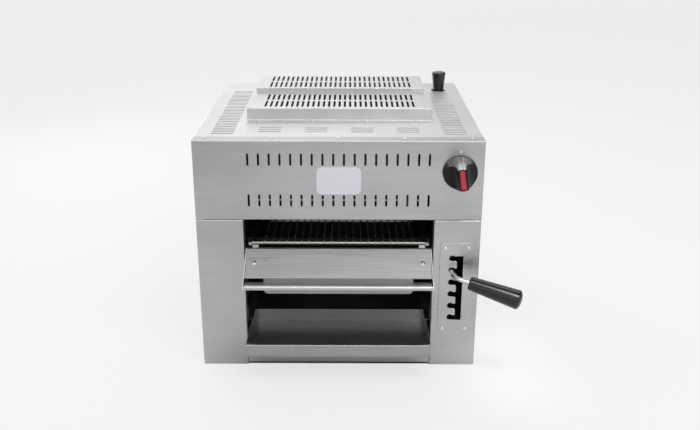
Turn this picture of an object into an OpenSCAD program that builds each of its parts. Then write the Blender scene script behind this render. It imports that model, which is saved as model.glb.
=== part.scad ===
// Gas cheese melter with a lever-operated lifting rack.
// Origin at the centre of the underside, +X right, +Y to the rear, +Z up.

/* [Casing] */
// Width of the casing
body_w = 610; // [590:1:680]
// Depth of the casing
body_d = 530; // [520:1:620]
// Height of the casing, without the flue covers
body_h = 530; // [520:1:600]
// Thickness of the outer sheets
sheet = 1.5; // [1:0.1:2]
// Outside radius of a folded edge
bend_r = 2.5; // [2.2:0.1:3.5]
// Width of the front opening
open_w = 408; // [404:1:412]
// Height of the hood, from the top of the opening to the top of the casing
hood_h = 176; // [170:1:185]
// Height of the base rail's top face
rail_top = 66.7; // [50:0.1:66.7]
// Height of the base rail above the surface that the casing stands on
rail_lift = 5; // [2:1:12]
// Dark joint left between the base rail and each pillar
rail_gap = 0.5; // [0.2:0.1:2]
// Depth of the flange that folds over the top
hood_flange = 28.5; // [20:0.5:34]
// Width of the narrow return flanges
return_w = 18; // [12:1:20]

/* [Feet holes] */
// Distance between the leg holes across the casing
leg_span_x = 510; // [440:1:540]
// Distance between the leg holes front to back
leg_span_y = 430; // [380:1:450]
// Radius of the leg holes
leg_hole_r = 5; // [4:0.5:6]

/* [Hood slots] */
// Number of slots in each row of the hood
hood_slots = 18; // [12:2:20]
// Distance between neighbouring hood slots
hood_pitch = 22.4; // [18:0.1:24]
// Width of a hood slot
hood_slot_w = 4.5; // [3:0.1:7]
// Length of a hood slot
hood_slot_l = 27; // [18:1:34]
// Distance of the upper row's centre below the top
hood_row_drop = 40; // [35:1:50]
// Distance of the lower row's centre above the opening
hood_row_rise = 44.6; // [35:0.1:50]

/* [Badge and dot] */
// Width of the blank badge plate
badge_w = 100; // [60:1:120]
// Height of the blank badge plate
badge_h = 64; // [40:1:66]
// Corner radius of the badge plate
badge_r = 8; // [3:0.5:12]
// Thickness of the badge plate
badge_t = 1.2; // [0.8:0.1:2]
// Radius of the indicator dot over the gas knob
dot_r = 2.6; // [1:0.1:4]

/* [Top vents] */
// Number of slots in each side vent
side_vents = 29; // [10:1:29]
// Distance between neighbouring side vent slots
side_pitch = 13.4; // [12:0.1:14]
// Length of every vent slot in the top panel
vent_l = 49.5; // [30:0.5:52]
// Width of every vent slot in the top panel
vent_w = 5; // [3:0.1:7]
// Distance of the side vents from the middle of the casing
side_vent_x = 250; // [240:1:255]
// Distance between neighbouring front vent groups
group_pitch = 100; // [80:1:110]
// Distance between the slots of one front group
group_step = 15; // [10:0.5:16]
// Distance from the front to the middle slots of the front groups
vent_row_back = 85; // [70:1:95]
// Distance from the front to the middle of the side vents
side_vent_back = 242.5; // [230:0.5:270]

/* [Flue covers] */
// Distance from the front to the front flue cover
cover_back = 155.6; // [145:0.1:165]
// Depth of the front flue cover
cover_front_d = 137.5; // [132:0.1:145]
// Depth of the rear flue cover
cover_rear_d = 130.6; // [128:0.1:145]
// Thickness of the flue cover sheets
cover_t = 1.2; // [0.8:0.1:1.5]
// Half width of the front flue cover
cover_front_x = 208; // [203:1:215]
// Half width of the rear flue cover
cover_rear_x = 201.4; // [195:0.1:202]
// Height of the front flue cover
cover_front_h = 29.7; // [20:0.1:40]
// How far the rear cover steps above the front one
cover_step = 13.8; // [8:0.1:20]
// Number of slots in each row of a flue cover
cover_slots = 29; // [20:1:30]
// Distance between neighbouring flue slots
cover_pitch = 12; // [10:0.1:13]
// Width of a flue slot
cover_slot_w = 5; // [3:0.1:7]
// Length of a flue slot
cover_slot_l = 52; // [30:1:54]
// Distance between the two rows of flue slots
cover_row_gap = 62; // [58:1:66]

/* [Notched guide] */
// Width of the guide plate
guide_w = 72; // [66:0.5:76]
// Height of the guide plate
guide_h = 218; // [214:0.5:240]
// Thickness of the guide plate
guide_t = 2; // [1.5:0.1:3]
// Number of notches
notches = 6; // [4:1:6]
// Distance between neighbouring notches
notch_pitch = 28.7; // [24:0.1:29]
// Diameter of the pocket at the end of a notch
notch_w = 13.6; // [13.2:0.1:15]
// Height of the throat between a pocket and the channel
throat_w = 11.4; // [11:0.1:12.8]
// Width of the upright channel
channel_w = 13.6; // [12.5:0.1:15]
// Length of a tooth between two notches
tooth_l = 17.7; // [16.5:0.1:18.2]
// Radius on the upper side of a tooth's tip
tooth_r = 4; // [1:0.1:5]
// Radius on the hooked lower side of a tooth's tip
hook_r = 1.2; // [0.5:0.1:2]

/* [Lift] */
// Length of each lifting arm between its pivots
arm_l = 300; // [270:1:305]
// Distance from the rear pivots to the back of the casing
pivot_inset = 40; // [36:1:50]
// Height of the upper rear pivot, where the lever lies level
lift_z = 193; // [188:0.5:200]
// Distance between the upper and the lower pivots
link_drop = 50; // [46:1:54]
// Radius of the upper shaft
upper_shaft_r = 7; // [6:0.5:8]
// Radius of the lower shaft
lower_shaft_r = 6; // [5:0.5:7]
// Radius of the carriage pins
pin_r = 5; // [4:0.5:6]
// Thickness of an arm
arm_t = 4; // [3:0.5:5]
// Height of an arm
arm_h = 18; // [14:1:22]

/* [Lever] */
// Radius of the lever rod
rod_r = 5; // [4.5:0.1:5.1]
// Bend radius of the lever rod
rod_bend = 25; // [18:1:27]
// Radius of the grip at the rod
grip_r_near = 14.6; // [12:0.1:16]
// Radius of the grip at its free end
grip_r_far = 20.8; // [17:0.1:22]
// Length of the grip without its domed end
grip_l = 105; // [80:1:120]

/* [Rack] */
// Radius of the rack's frame rods
frame_rod_r = 4; // [3:0.5:4.5]
// Radius of the rack's thin rods
grid_rod_r = 2; // [1.5:0.25:2.5]
// Distance between neighbouring thin rods
grid_pitch = 16; // [12:0.5:22]
// Depth of the rack
rack_l = 315; // [280:1:320]
// Thickness of the apron and tray sheets
thin = 1.2; // [0.8:0.1:1.5]
// Half width of the apron
apron_x = 200; // [195:0.5:201]
// Thickness of the apron's end cheeks
cheek_t = 2; // [1.2:0.1:2.5]
// Depth of the handle rail
handle_d = 22; // [16:0.5:26]
// Height of the handle rail
handle_h = 9.6; // [7:0.1:14]

/* [Drip tray] */
// Depth of the drip tray
tray_d = 155; // [130:1:200]
// Height of the drip tray's walls
tray_h = 30; // [20:1:30]
// Half width of the drip tray
tray_x = 198.5; // [190:0.5:199]
// How far the drip tray stands out at rest
tray_out = 78; // [40:1:80]
// Depth of the hem along the top of the tray's front
tray_hem = 8; // [3:0.5:12]

/* [Gas knob] */
// Radius of the knob's skirt
skirt_r = 36.5; // [33:0.5:38]
// Radius of the knob's body at its front end
knob_r = 24; // [23:0.5:28]
// How far the knob stands out from the panel
knob_out = 50; // [44:0.5:56]
// Width of the knob's grip bar at its front
bar_w = 18; // [16:0.5:22]
// Angle that each flank of the grip bar is splayed by
bar_splay = 1.6; // [0:0.1:3]
// Travel of the knob when it is pushed
push = 3.5; // [2:0.1:4]
// Angle of the grip bar from the dot
knob_turn = 8; // [0:1:20]

/* [Burner] */
// Half width of the burner box
plenum_x = 190; // [180:1:194]
// Depth of the burner box
plenum_d = 276; // [270:1:290]
// Height of the burner box
plenum_h = 45; // [36:1:50]
// Height of the burner's face above the top of the opening
burner_rise = 18; // [12:1:24]
// Width of a ceramic tile
tile_w = 92; // [86:0.5:94]
// Depth of a ceramic tile
tile_d = 132; // [120:0.5:134]
// Thickness of a ceramic tile
tile_t = 13; // [10:0.5:16]

/* [Pipes] */
// Outside radius of the gas inlet pipe
inlet_r = 13.35; // [10.65:0.1:13.5]
// How far the inlet stands out at the rear
inlet_out = 20; // [15:1:40]
// Radius of the burner feed pipe
feed_r = 6; // [5:0.5:7]
// Radius of the burner's mixing tube
mixer_r = 16; // [13:0.5:18]

/* [Hidden] */
$fn = 48;

// Clearances
run_fit = 0.05;      // radial play of a shaft in its bush
side_play = 0.3;     // play between pieces that move past each other
seam = 0.5;          // open joint between hood and pillars
eps = 0.01;          // overrun of a cutter past a face
weld = 0.6;          // overlap of a straight run with its bend
bend_swell = 0.05;   // a pipe or rod is that much thicker in its bends

// Casing
half_w = body_w / 2;
front = -body_d / 2;
rear = body_d / 2;
open_x = open_w / 2;
top_z = body_h;
open_h = body_h - hood_h;
flange_z = body_h + sheet;
corner_flange = 20;
rear_flange = 10;
rear_in = rear - 2 * sheet;
top_fold = 25;
liner_t = 1.2;
liner_x = open_x + 8;
liner_rear = rear - 21;
burner_z = open_h + burner_rise;
liner_h = burner_z + plenum_h + 3;
shaft_end_x = liner_x + 8;
pillar_return = 28.5;
pillar_fold = 12;
pan_flange = 20;
rail_flange = 28;
steel = [0.72, 0.73, 0.74];
steel_light = [0.85, 0.85, 0.86];
dark = [0.16, 0.16, 0.18];
zinc = [0.6, 0.61, 0.62];
black = [0.06, 0.06, 0.07];

// Leg nuts
leg_nut_wall = 4.5;
leg_nut_h = 8;

// Hood
hood_screw_pitch = 140;
screw_r = 1.7;
head_r = 3.6;
guide_head_r = 4;
apron_head_r = 5;
knob_x = 254.4;
knob_drop = 66.5;
knob_z = top_z - knob_drop;
dot_rise = 44.5;
dot_z = knob_z + dot_rise;
dot_t = 0.6;
badge_drop = 87.2;
badge_z = top_z - badge_drop;

// Gas knob and valve; depths are measured from the face of the hood
stem_r = 4;
stem_hole_r = 6.5;
stem_in_knob = 20;
stem_end = 34;
flank_r = 44;
insert_w = 13.4;
insert_l = 44;
insert_seat = 1.5;
insert_t = 2;
plug_r = 7;
plug_y0 = front + 32;
plug_y1 = front + 48;
valve_r = 12;
valve_neck_r = 9;
valve_y0 = front + 18;
valve_y1 = front + 60;
valve_arm_r = 8;
valve_arm_y = front + 40;
valve_arm_x = knob_x + 12.6;

// Top panel
vent_row_y = front + vent_row_back;
side_vent_y = front + side_vent_back;
tension_x = 254;
tension_hole_r = 18.5;
flue_hole_x = 188;

// Flue covers
cover_front_y = front + cover_back;
cover_joint_y = cover_front_y + cover_front_d;
cover_rear_y = cover_joint_y + cover_rear_d;
cover_foot = 23.6;
cover_rear_foot = 16;
cover_edge = 12;
cover_front_z = top_z + cover_front_h;
cover_rear_z = cover_front_z + cover_step;
cover_screw_x = [-182, -61, 61, 182];

// Guide plate
guide_x = 255.5;
guide_z = 192.5;
guide_corner = 7;
channel_x0 = 257;
notch_top = 265;
notch_end_x = channel_x0 - tooth_l;
guide_front = front - guide_t;
guide_screw_x = 50.5;
guide_screw_z = 194.5;
window_margin = 8;

// Lift
pivot_y = rear - pivot_inset;
pivot_back = pivot_y - front;
low_z = lift_z - link_drop;
rest_notch_z = notch_top - notch_pitch;
rest_tilt = atan((rest_notch_z - lift_z) / pivot_back);
arm_x = 200.5;
carriage_x = 196;
plate_t = 3;
carriage_y = pivot_y - arm_l * cos(rest_tilt);
carriage_rise = arm_l * sin(rest_tilt);
pin_high_z = lift_z + carriage_rise;
pin_low_z = low_z + carriage_rise;
crank_l = 38;
bush_wall = 3;
bush_flange_t = 1.5;
hub_r = 12;
bracket_t = 3;
bracket_half = 26;
lever_x = notch_end_x + rod_r + 1.2;
crank_t = 15;
socket_r = 7;
crank_hub_r = 14;
socket_front = 60;
socket_end = 15;
spring_pin_r = 2.5;
spring_r = 7;
spring_wire = 1.8;
spring_seat = 0.4;
spring_core = spring_r - spring_wire / 2 - spring_seat;
spring_turns = 22;
screw_rod_r = 4;
tension_y = pivot_y - crank_l * cos(rest_tilt);
crank_pin_z = lift_z + crank_l * sin(rest_tilt);
collar_drop = 12;
collar_z = top_z - collar_drop;
tension_knob_z = top_z - 3;
tension_r_low = 13;
tension_r_top = 17.5;
tension_h = 52;
tension_bore = 18;
tension_span = 22;
tension_foot = 12;
tension_half = 10;
tongue_half = 8;
collar_t = 2;
nut_drop = 68;
nut_z = top_z - nut_drop;
nut_half = 9;
nut_h = 12;
nut_neck = 14;
plug_z = crank_pin_z + 13.7;
plug_h = 12;
eye_r = 5;
tongue_t = 2;
coil_steps = 10;
coil_sides = 6;
coil_last = spring_turns * coil_steps;
coil_low = plug_z + 6;
coil_high = nut_z - 6;

// Rack
rack_rod_x = carriage_x - 0.5 - frame_rod_r;
rack_z = 295;
channel_t = 1.5;
channel_in = 182;
channel_low = rack_z - 12;
channel_high = rack_z + 5.8;
lug_half = 13;
lug_cut = 6;
lug_reach = 8;
gusset = 70;
play_z = frame_rod_r + side_play;
rack_inset = 7;
rack_front = front + rack_inset;
rack_rear = rack_front + rack_l;
channel_inset = 16;
channel_front = rack_front + channel_inset;
cross_r = 3;
apron_top_y = front - 2.6;
apron_top_z = 288;
apron_reach = 58.5;
apron_low_y = front - apron_reach;
apron_low_z = 247;
tab_x = 158;
tab_z = 210;
tab_chamfer = 6;
apron_screw_x = 180.5;
apron_screw_z = 268.2;
bracket_x0 = 174;
bracket_x1 = 187;
handle_top = 238;
handle_front = apron_low_y - handle_d;
cheek_top = 240;

// Drip tray
tray_floor_z = rail_top + side_play;
tray_front = front - tray_out;
tray_corner = 6;
runner_y0 = front + pillar_return + sheet;
runner_y1 = front + tray_d + 10;

// Burner
plenum_inset = 75;
plenum_y0 = front + plenum_inset;
plenum_y1 = plenum_y0 + plenum_d;
plenum_mid = (plenum_y0 + plenum_y1) / 2;
tile_lip = 5;
screen_bar = 4;
mixer_back = 150;
mixer_y = plenum_y0 + mixer_back;
mixer_rise = 23;
mixer_z = burner_z + mixer_rise;
mixer_end = 232;
inlet_side = 26.6;
inlet_x = knob_x + inlet_side;
inlet_inset = 22;
inlet_y0 = front + inlet_inset;
inlet_step = 1;
inlet_wall = 2.9;
inlet_bore = inlet_r - inlet_wall;
pilot_x = 150;
pilot_inset = 50;
pilot_y = front + pilot_inset;
pilot_drop = 29.5;
pilot_z = knob_z - pilot_drop;
hanger_y = [plenum_y0 + 40, plenum_y1 - 60];
hanger_w = 24;
hanger_z = [burner_z + 14, burner_z + 34];
pilot_r = 3;
pilot_tip_r = 6;
pilot_tip = [burner_z - 12, burner_z - 4];

// Lever outside the casing
lever_dir = [0, -cos(rest_tilt), sin(rest_tilt)];
lever_corner = [lever_x, pivot_y, lift_z] + lever_dir * (pivot_back + 40.4) / cos(rest_tilt);
grip_dir = [128, -46, -27] / norm([128, -46, -27]);
grip_start = lever_corner + grip_dir * 34.7;
grip_bore = 40;
grip_edge = 2.5;
grip_dome = 9;

// Sheet profiles: a path is the outer face, the sheet lies to its left.
function unit(v) = v / norm(v);
function left_of(v) = [-v[1], v[0]];
function turned(v, a) = [v[0] * cos(a) - v[1] * sin(a), v[0] * sin(a) + v[1] * cos(a)];
function arc_at(p, a, b, r, steps) =
    let (turn = atan2(a[0] * b[1] - a[1] * b[0], a * b))
    let (run = r * tan(abs(turn) / 2))
    let (spoke = left_of(a) * r * sign(turn))
    [for (k = [0:steps]) p - a * run + spoke - turned(spoke, turn * k / steps)];
function rounded(path, r, steps = 3) =
    let (last = len(path) - 1)
    [for (i = [0:last]) each (i == 0 || i == last ? [path[i]]
        : arc_at(path[i], unit(path[i] - path[i - 1]), unit(path[i + 1] - path[i]), r, steps))];
function inner_point(path, i, t) =
    let (last = len(path) - 1)
    let (a = unit(path[max(i, 1)] - path[max(i, 1) - 1]))
    let (b = unit(path[min(i, last - 1) + 1] - path[min(i, last - 1)]))
    let (n = unit(left_of(a) + left_of(b)))
    path[i] + n * t / (n * left_of(a));
function strip(path, t) =
    concat(path, [for (i = [len(path) - 1:-1:0]) inner_point(path, i, t)]);

// A folded sheet whose profile lies in the Y-Z plane
module fold_x(path, t, x0, x1, r = bend_r)
    translate([x0, 0, 0]) rotate([90, 0, 90]) linear_extrude(x1 - x0)
        polygon(strip(rounded(path, r), t));

// A folded sheet whose profile lies in the X-Z plane
module fold_y(path, t, y0, y1, r = bend_r)
    translate([0, y1, 0]) rotate([90, 0, 0]) linear_extrude(y1 - y0)
        polygon(strip(rounded(path, r), t));

// A folded sheet whose profile lies in the X-Y plane
module fold_z(path, t, z0, z1, r = bend_r)
    translate([0, 0, z0]) linear_extrude(z1 - z0)
        polygon(strip(rounded(path, r), t));

// A flat plate whose outline lies in the Y-Z plane
module plate_x(points, x0, t)
    translate([x0, 0, 0]) rotate([90, 0, 90]) linear_extrude(t) polygon(points);

module block(low, high)
    translate(low) cube(high - low);

module rod_x(r, x0, x1, y, z)
    translate([x0, y, z]) rotate([0, 90, 0]) cylinder(r = r, h = x1 - x0);

module rod_y(r, y0, y1, x, z)
    translate([x, y0, z]) rotate([-90, 0, 0]) cylinder(r = r, h = y1 - y0);

module rod_z(r, z0, z1, x, y)
    translate([x, y, z0]) cylinder(r = r, h = z1 - z0);

// Outline of a slot with round ends, long along X
module slot_outline(l, w) {
    square([l - w, w], center = true);
    for (s = [-1, 1]) translate([s * (l - w) / 2, 0]) circle(d = w, $fn = 24);
}

module rounded_rect(w, h, r) {
    square([w - 2 * r, h], center = true);
    square([w, h - 2 * r], center = true);
    for (sx = [-1, 1], sy = [-1, 1]) translate([sx * (w / 2 - r), sy * (h / 2 - r)]) circle(r);
}

// A slot cut through a level sheet, long along X or along Y
module slot_z(x, y, l, w, z, along = 0)
    translate([x, y, z - 2 * sheet]) rotate(along) linear_extrude(4 * sheet) slot_outline(l, w);

// A slot cut through an upright front sheet, long along Z
module slot_front(x, z, l, w)
    translate([x, front + 2 * sheet, z]) rotate([90, 90, 0]) linear_extrude(4 * sheet)
        slot_outline(l, w);

// Pan-head screw whose head seats on Z = 0 and whose shank goes down
module pan_screw(shank, r) {
    rotate_extrude() polygon([[0, 0], [r, 0], [r, r * 0.28], [r * 0.72, r * 0.54], [0, r * 0.6]]);
    translate([0, 0, -shank]) cylinder(r = screw_r, h = shank);
}

// A bent rod or pipe through a list of points
module bent_run(points, r, bend) {
    last = len(points) - 1;
    dirs = [for (i = [0:last - 1]) unit(points[i + 1] - points[i])];
    cuts = [for (i = [0:last]) i == 0 || i == last ? 0
        : bend * tan(acos(dirs[i - 1] * dirs[i]) / 2)];
    for (i = [0:last - 1])
        run_between(points[i] + dirs[i] * (cuts[i] - (i > 0 ? weld : 0)),
            points[i + 1] - dirs[i] * (cuts[i + 1] - (i < last - 1 ? weld : 0)), r);
    for (i = [1:1:last - 1])
        elbow(points[i] - dirs[i - 1] * cuts[i], dirs[i - 1], dirs[i], r + bend_swell, bend);
}

module run_between(a, b, r) {
    d = unit(b - a);
    translate(a) rotate([0, acos(d[2]), atan2(d[1], d[0])]) cylinder(r = r, h = norm(b - a));
}

module elbow(start, d0, d1, r, bend) {
    inward = unit(d1 - d0 * (d0 * d1));
    ex = -inward;
    ez = cross(ex, d0);
    centre = start + inward * bend;
    multmatrix([[ex[0], d0[0], ez[0], centre[0]], [ex[1], d0[1], ez[1], centre[1]],
        [ex[2], d0[2], ez[2], centre[2]], [0, 0, 0, 1]])
        rotate_extrude(angle = acos(d0 * d1)) translate([bend, 0]) circle(r);
}

// ---- Casing ----

module base_pan()
    color(steel) difference() {
        fold_y([[-half_w + sheet, pan_flange], [-half_w + sheet, 0], [half_w - sheet, 0],
            [half_w - sheet, pan_flange]], sheet, front + 2 * sheet, rear_in);
        for (sx = [-1, 1], sy = [-1, 1])
            translate([sx * leg_span_x / 2, sy * leg_span_y / 2, -eps])
                cylinder(r = leg_hole_r, h = 2 * sheet);
    }

module leg_nuts()
    color(zinc) for (sx = [-1, 1], sy = [-1, 1])
        translate([sx * leg_span_x / 2, sy * leg_span_y / 2, sheet]) difference() {
            cylinder(r = leg_hole_r + leg_nut_wall, h = leg_nut_h, $fn = 6);
            translate([0, 0, -eps]) cylinder(r = leg_hole_r, h = leg_nut_h + 1);
        }

module base_rail()
    color(steel) fold_x([[front + rail_flange, rail_top], [front, rail_top], [front, rail_lift],
        [front + rail_flange / 2, rail_lift], [front + rail_flange / 2 + 3, sheet],
        [front + rail_flange, sheet]], sheet, -open_x + rail_gap, open_x - rail_gap, 2);

// Front post: face, return beside the opening and a flange that meets the liner; its top edge is
// folded in under the hood
module pillar() {
    pillar_top = open_h - seam;
    fold_low = pillar_top - bend_r - 1;
    difference() {
        fold_z([[half_w, front], [open_x, front], [open_x, front + pillar_return + sheet],
            [liner_x + liner_t, front + pillar_return + sheet]], -sheet, 0, pillar_top);
        block([open_x - 1, front + 2 * sheet, -1], [half_w, 0, sheet]);
        block([open_x + bend_r, front - 1, fold_low], [half_w + 1, front + 2 * sheet, open_h]);
    }
    difference() {
        fold_x([[front + pillar_fold, pillar_top], [front, pillar_top], [front, fold_low]],
            sheet, open_x + bend_r, half_w);
        block([half_w - corner_flange - side_play, front + sheet, fold_low - 1],
            [half_w + 1, front + pillar_fold + 1, open_h]);
    }
}

module left_pillar()
    color(steel) mirror([1, 0, 0]) pillar();

module right_pillar()
    color(steel) difference() {
        pillar();
        block([notch_end_x - window_margin, front - eps, guide_z - guide_h / 2 + 18],
            [channel_x0 + channel_w + window_margin, front + 2 * sheet, guide_z + guide_h / 2 - 18]);
        guide_screw_holes();
    }

module side_panel()
    fold_z([[half_w - corner_flange, front + sheet], [half_w, front + sheet], [half_w, rear],
        [half_w - rear_flange, rear]], sheet, 0, top_z - sheet);

module left_side_panel()
    color(steel) mirror([1, 0, 0]) side_panel();

module right_side_panel()
    color(steel) side_panel();

module rear_panel()
    color(steel) difference() {
        rear_x = half_w - bend_r - side_play;
        block([-rear_x, rear_in, 0], [rear_x, rear - sheet, top_z - sheet]);
        rod_y(inlet_r + 1, rear_in - sheet, rear, inlet_x, knob_z);
    }

module hood_front_panel()
    color(steel) difference() {
        fold_x([[front + hood_flange, flange_z], [front, flange_z], [front, open_h],
            [front + return_w, open_h]], sheet, -half_w, half_w);
        for (s = [0, 1]) mirror([s, 0, 0])
            block([half_w - corner_flange - side_play, front + sheet, open_h - 1],
                [half_w + 1, front + hood_flange, open_h + 2 * sheet]);
        for (z = [top_z - hood_row_drop, open_h + hood_row_rise], i = [0:hood_slots - 1])
            slot_front((i - (hood_slots - 1) / 2) * hood_pitch, z, hood_slot_l, hood_slot_w);
        rod_y(stem_hole_r, front - sheet, front + 2 * sheet, knob_x, knob_z);
        for (i = [-2:2])
            translate([i * hood_screw_pitch, front + return_w, top_z - eps])
                cylinder(r = screw_r, h = 2 * sheet);
    }

module top_panel()
    color(steel_light) difference() {
        union() {
            block([-half_w, front + bend_r + side_play, top_z - sheet], [half_w, rear, top_z]);
            block([-half_w + rear_flange + 1, rear - sheet, top_z - top_fold],
                [half_w - rear_flange - 1, rear, top_z - sheet]);
        }
        for (s = [-1, 1], i = [0:side_vents - 1])
            slot_z(s * side_vent_x, side_vent_y + (i - (side_vents - 1) / 2) * side_pitch,
                vent_l, vent_w, top_z);
        for (g = [-1.5:1.5], row = [-1:1])
            slot_z(g * group_pitch, vent_row_y + row * group_step, vent_l, vent_w, top_z);
        block([-flue_hole_x, cover_front_y + cover_edge, top_z - 2 * sheet],
            [flue_hole_x, cover_rear_y - cover_edge, top_z + sheet]);
        translate([tension_x, tension_y, top_z - 2 * sheet])
            cylinder(r = tension_hole_r, h = 3 * sheet);
        for (i = [-2:2])
            translate([i * hood_screw_pitch, front + return_w, top_z - 2 * sheet])
                cylinder(r = screw_r, h = 3 * sheet);
        for (x = cover_screw_x)
            translate([x, cover_front_y - cover_foot / 2, top_z - 2 * sheet])
                cylinder(r = screw_r, h = 3 * sheet);
    }

// Two rows of slots, long along Y
module flue_slots(y_mid, z)
    for (row = [-0.5, 0.5], i = [0:cover_slots - 1])
        slot_z((i - (cover_slots - 1) / 2) * cover_pitch, y_mid + row * cover_row_gap,
            cover_slot_l, cover_slot_w, z, 90);

module front_flue_cover()
    color(steel_light) difference() {
        union() {
            fold_x([[cover_joint_y + cover_t, cover_front_z], [cover_front_y, cover_front_z],
                [cover_front_y, top_z + cover_t], [cover_front_y - cover_foot, top_z + cover_t]],
                cover_t, -cover_front_x, cover_front_x, 2);
            for (s = [-1, 1])
                block([s * (cover_front_x - cover_t / 2) - cover_t / 2, cover_front_y + cover_t,
                    top_z], [s * (cover_front_x - cover_t / 2) + cover_t / 2,
                    cover_joint_y + cover_t, cover_front_z - cover_t]);
        }
        flue_slots((cover_front_y + cover_joint_y) / 2, cover_front_z);
        for (x = cover_screw_x)
            translate([x, cover_front_y - cover_foot / 2, top_z - eps])
                cylinder(r = screw_r, h = 2 * sheet);
    }

module rear_flue_cover()
    color(steel_light) difference() {
        union() {
            fold_x([[cover_rear_y + cover_rear_foot, top_z + cover_t], [cover_rear_y, top_z + cover_t],
                [cover_rear_y, cover_rear_z], [cover_joint_y, cover_rear_z],
                [cover_joint_y, cover_front_z]], cover_t, -cover_rear_x, cover_rear_x, 2);
            for (s = [-1, 1])
                block([s * (cover_rear_x - cover_t / 2) - cover_t / 2, cover_joint_y + cover_t,
                    top_z], [s * (cover_rear_x - cover_t / 2) + cover_t / 2,
                    cover_rear_y - cover_t, cover_rear_z - cover_t]);
        }
        flue_slots((cover_joint_y + cover_rear_y) / 2, cover_rear_z);
    }

// Five screws through the hood's flange and four through the front flue cover's foot
module top_screws()
    color(zinc) {
        for (i = [-2:2])
            translate([i * hood_screw_pitch, front + return_w, flange_z])
                pan_screw(2 * sheet, head_r);
        for (x = cover_screw_x)
            translate([x, cover_front_y - cover_foot / 2, top_z + cover_t])
                pan_screw(cover_t + sheet, head_r);
    }

module badge_plate()
    color("whitesmoke") translate([0, front, badge_z]) rotate([90, 0, 0])
        linear_extrude(badge_t) rounded_rect(badge_w, badge_h, badge_r);

module indicator_dot()
    color("white") rod_y(dot_r, front - dot_t, front, knob_x, dot_z);

// ---- Cavity ----

module liner() {
    difference() {
        fold_y([[liner_x, liner_h], [liner_x, sheet], [liner_x + return_w, sheet]],
            liner_t, front + pillar_return + sheet, liner_rear);
        rod_x(upper_shaft_r + bush_wall, liner_x - 1, liner_x + 3, pivot_y, lift_z);
        rod_x(lower_shaft_r + bush_wall, liner_x - 1, liner_x + 3, pivot_y, low_z);
        for (sy = [-1, 1])
            translate([leg_span_x / 2, sy * leg_span_y / 2, 0])
                cylinder(r = leg_hole_r + leg_nut_wall + side_play, h = sheet + leg_nut_h + side_play);
    }
}

module left_liner()
    color(dark) mirror([1, 0, 0]) liner();

module right_liner()
    color(dark) difference() {
        liner();
        rod_x(mixer_r, liner_x - 1, liner_x + 3, mixer_y, mixer_z);
    }

module rear_liner()
    color(dark) block([-liner_x - liner_t, liner_rear, sheet],
        [liner_x + liner_t, liner_rear + liner_t, liner_h]);

// C-shaped runner with the tray's side wall between its lips
module tray_runners()
    color(steel) for (s = [0, 1]) mirror([s, 0, 0])
        fold_y([[tray_x - 12, rail_top - sheet], [liner_x, rail_top - sheet],
            [liner_x, tray_floor_z + tray_h + side_play + sheet],
            [tray_x - 4, tray_floor_z + tray_h + side_play + sheet]],
            sheet, runner_y0, runner_y1);

// ---- Notched guide ----

// What lies between a square corner at the origin and its fillet, in the +X +Y quarter
module corner_cut(r)
    difference() {
        translate([-eps, -eps]) square(r + eps);
        translate([r, r]) circle(r);
    }

// Channel with a pocket and a throat for each notch; the pocket rises over the throat
module guide_opening() {
    notch_low = notch_top - (notches - 1) * notch_pitch;
    channel_z0 = notch_low - throat_w / 2 - seam;
    channel_z1 = notch_top + throat_w / 2 + seam;
    pocket_x = notch_end_x + notch_w / 2;
    translate([channel_x0 + channel_w / 2, (channel_z0 + channel_z1) / 2])
        rounded_rect(channel_w, channel_z1 - channel_z0, hook_r);
    for (i = [0:notches - 1]) translate([0, notch_top - i * notch_pitch]) {
        translate([pocket_x, (notch_w - throat_w) / 2]) circle(d = notch_w);
        translate([pocket_x, -throat_w / 2]) square([channel_x0 + 1 - pocket_x, throat_w]);
        if (i > 0)
            translate([channel_x0, throat_w / 2]) mirror([1, 0]) corner_cut(hook_r);
        if (i < notches - 1)
            translate([channel_x0, -throat_w / 2]) rotate(180) corner_cut(tooth_r);
    }
}

module at_guide_screws()
    for (sx = [-1, 1], sz = [-1, 1])
        translate([guide_x + sx * guide_screw_x / 2, guide_front, guide_z + sz * guide_screw_z / 2])
            rotate([90, 0, 0]) children();

module guide_screw_holes()
    at_guide_screws() translate([0, 0, -2 * guide_t - sheet])
        cylinder(r = screw_r, h = 3 * guide_t + sheet);

module guide_plate()
    color(steel) difference() {
        translate([0, front, 0]) rotate([90, 0, 0]) linear_extrude(guide_t) difference() {
            translate([guide_x, guide_z]) rounded_rect(guide_w, guide_h, guide_corner);
            guide_opening();
        }
        guide_screw_holes();
    }

module guide_plate_screws()
    color(zinc) at_guide_screws() pan_screw(guide_t + sheet, guide_head_r);

// ---- Burner ----

module burner_plenum()
    color(dark) difference() {
        block([-plenum_x, plenum_y0, burner_z], [plenum_x, plenum_y1, burner_z + plenum_h]);
        block([-plenum_x + sheet, plenum_y0 + sheet, burner_z + sheet],
            [plenum_x - sheet, plenum_y1 - sheet, burner_z + plenum_h - sheet]);
        block([-2 * tile_w + tile_lip, plenum_mid - tile_d + tile_lip, burner_z - 1],
            [2 * tile_w - tile_lip, plenum_mid + tile_d - tile_lip, burner_z + 2 * sheet]);
        rod_x(mixer_r, plenum_x - 2 * sheet, plenum_x + 1, mixer_y, mixer_z);
    }

// Each tile has shallow grooves that part its burning face into fields
module burner_tiles()
    color("wheat") for (ix = [-1.5:1.5], iy = [-0.5, 0.5])
        translate([ix * tile_w, plenum_mid + iy * tile_d, burner_z + sheet])
            difference() {
                translate([-tile_w / 2, -tile_d / 2, 0]) cube([tile_w, tile_d, tile_t]);
                for (g = [-1.5:1.5])
                    translate([-tile_w / 2 - 1, g * tile_d / 4 - 1, -1]) cube([tile_w + 2, 2, 3]);
            }

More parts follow.
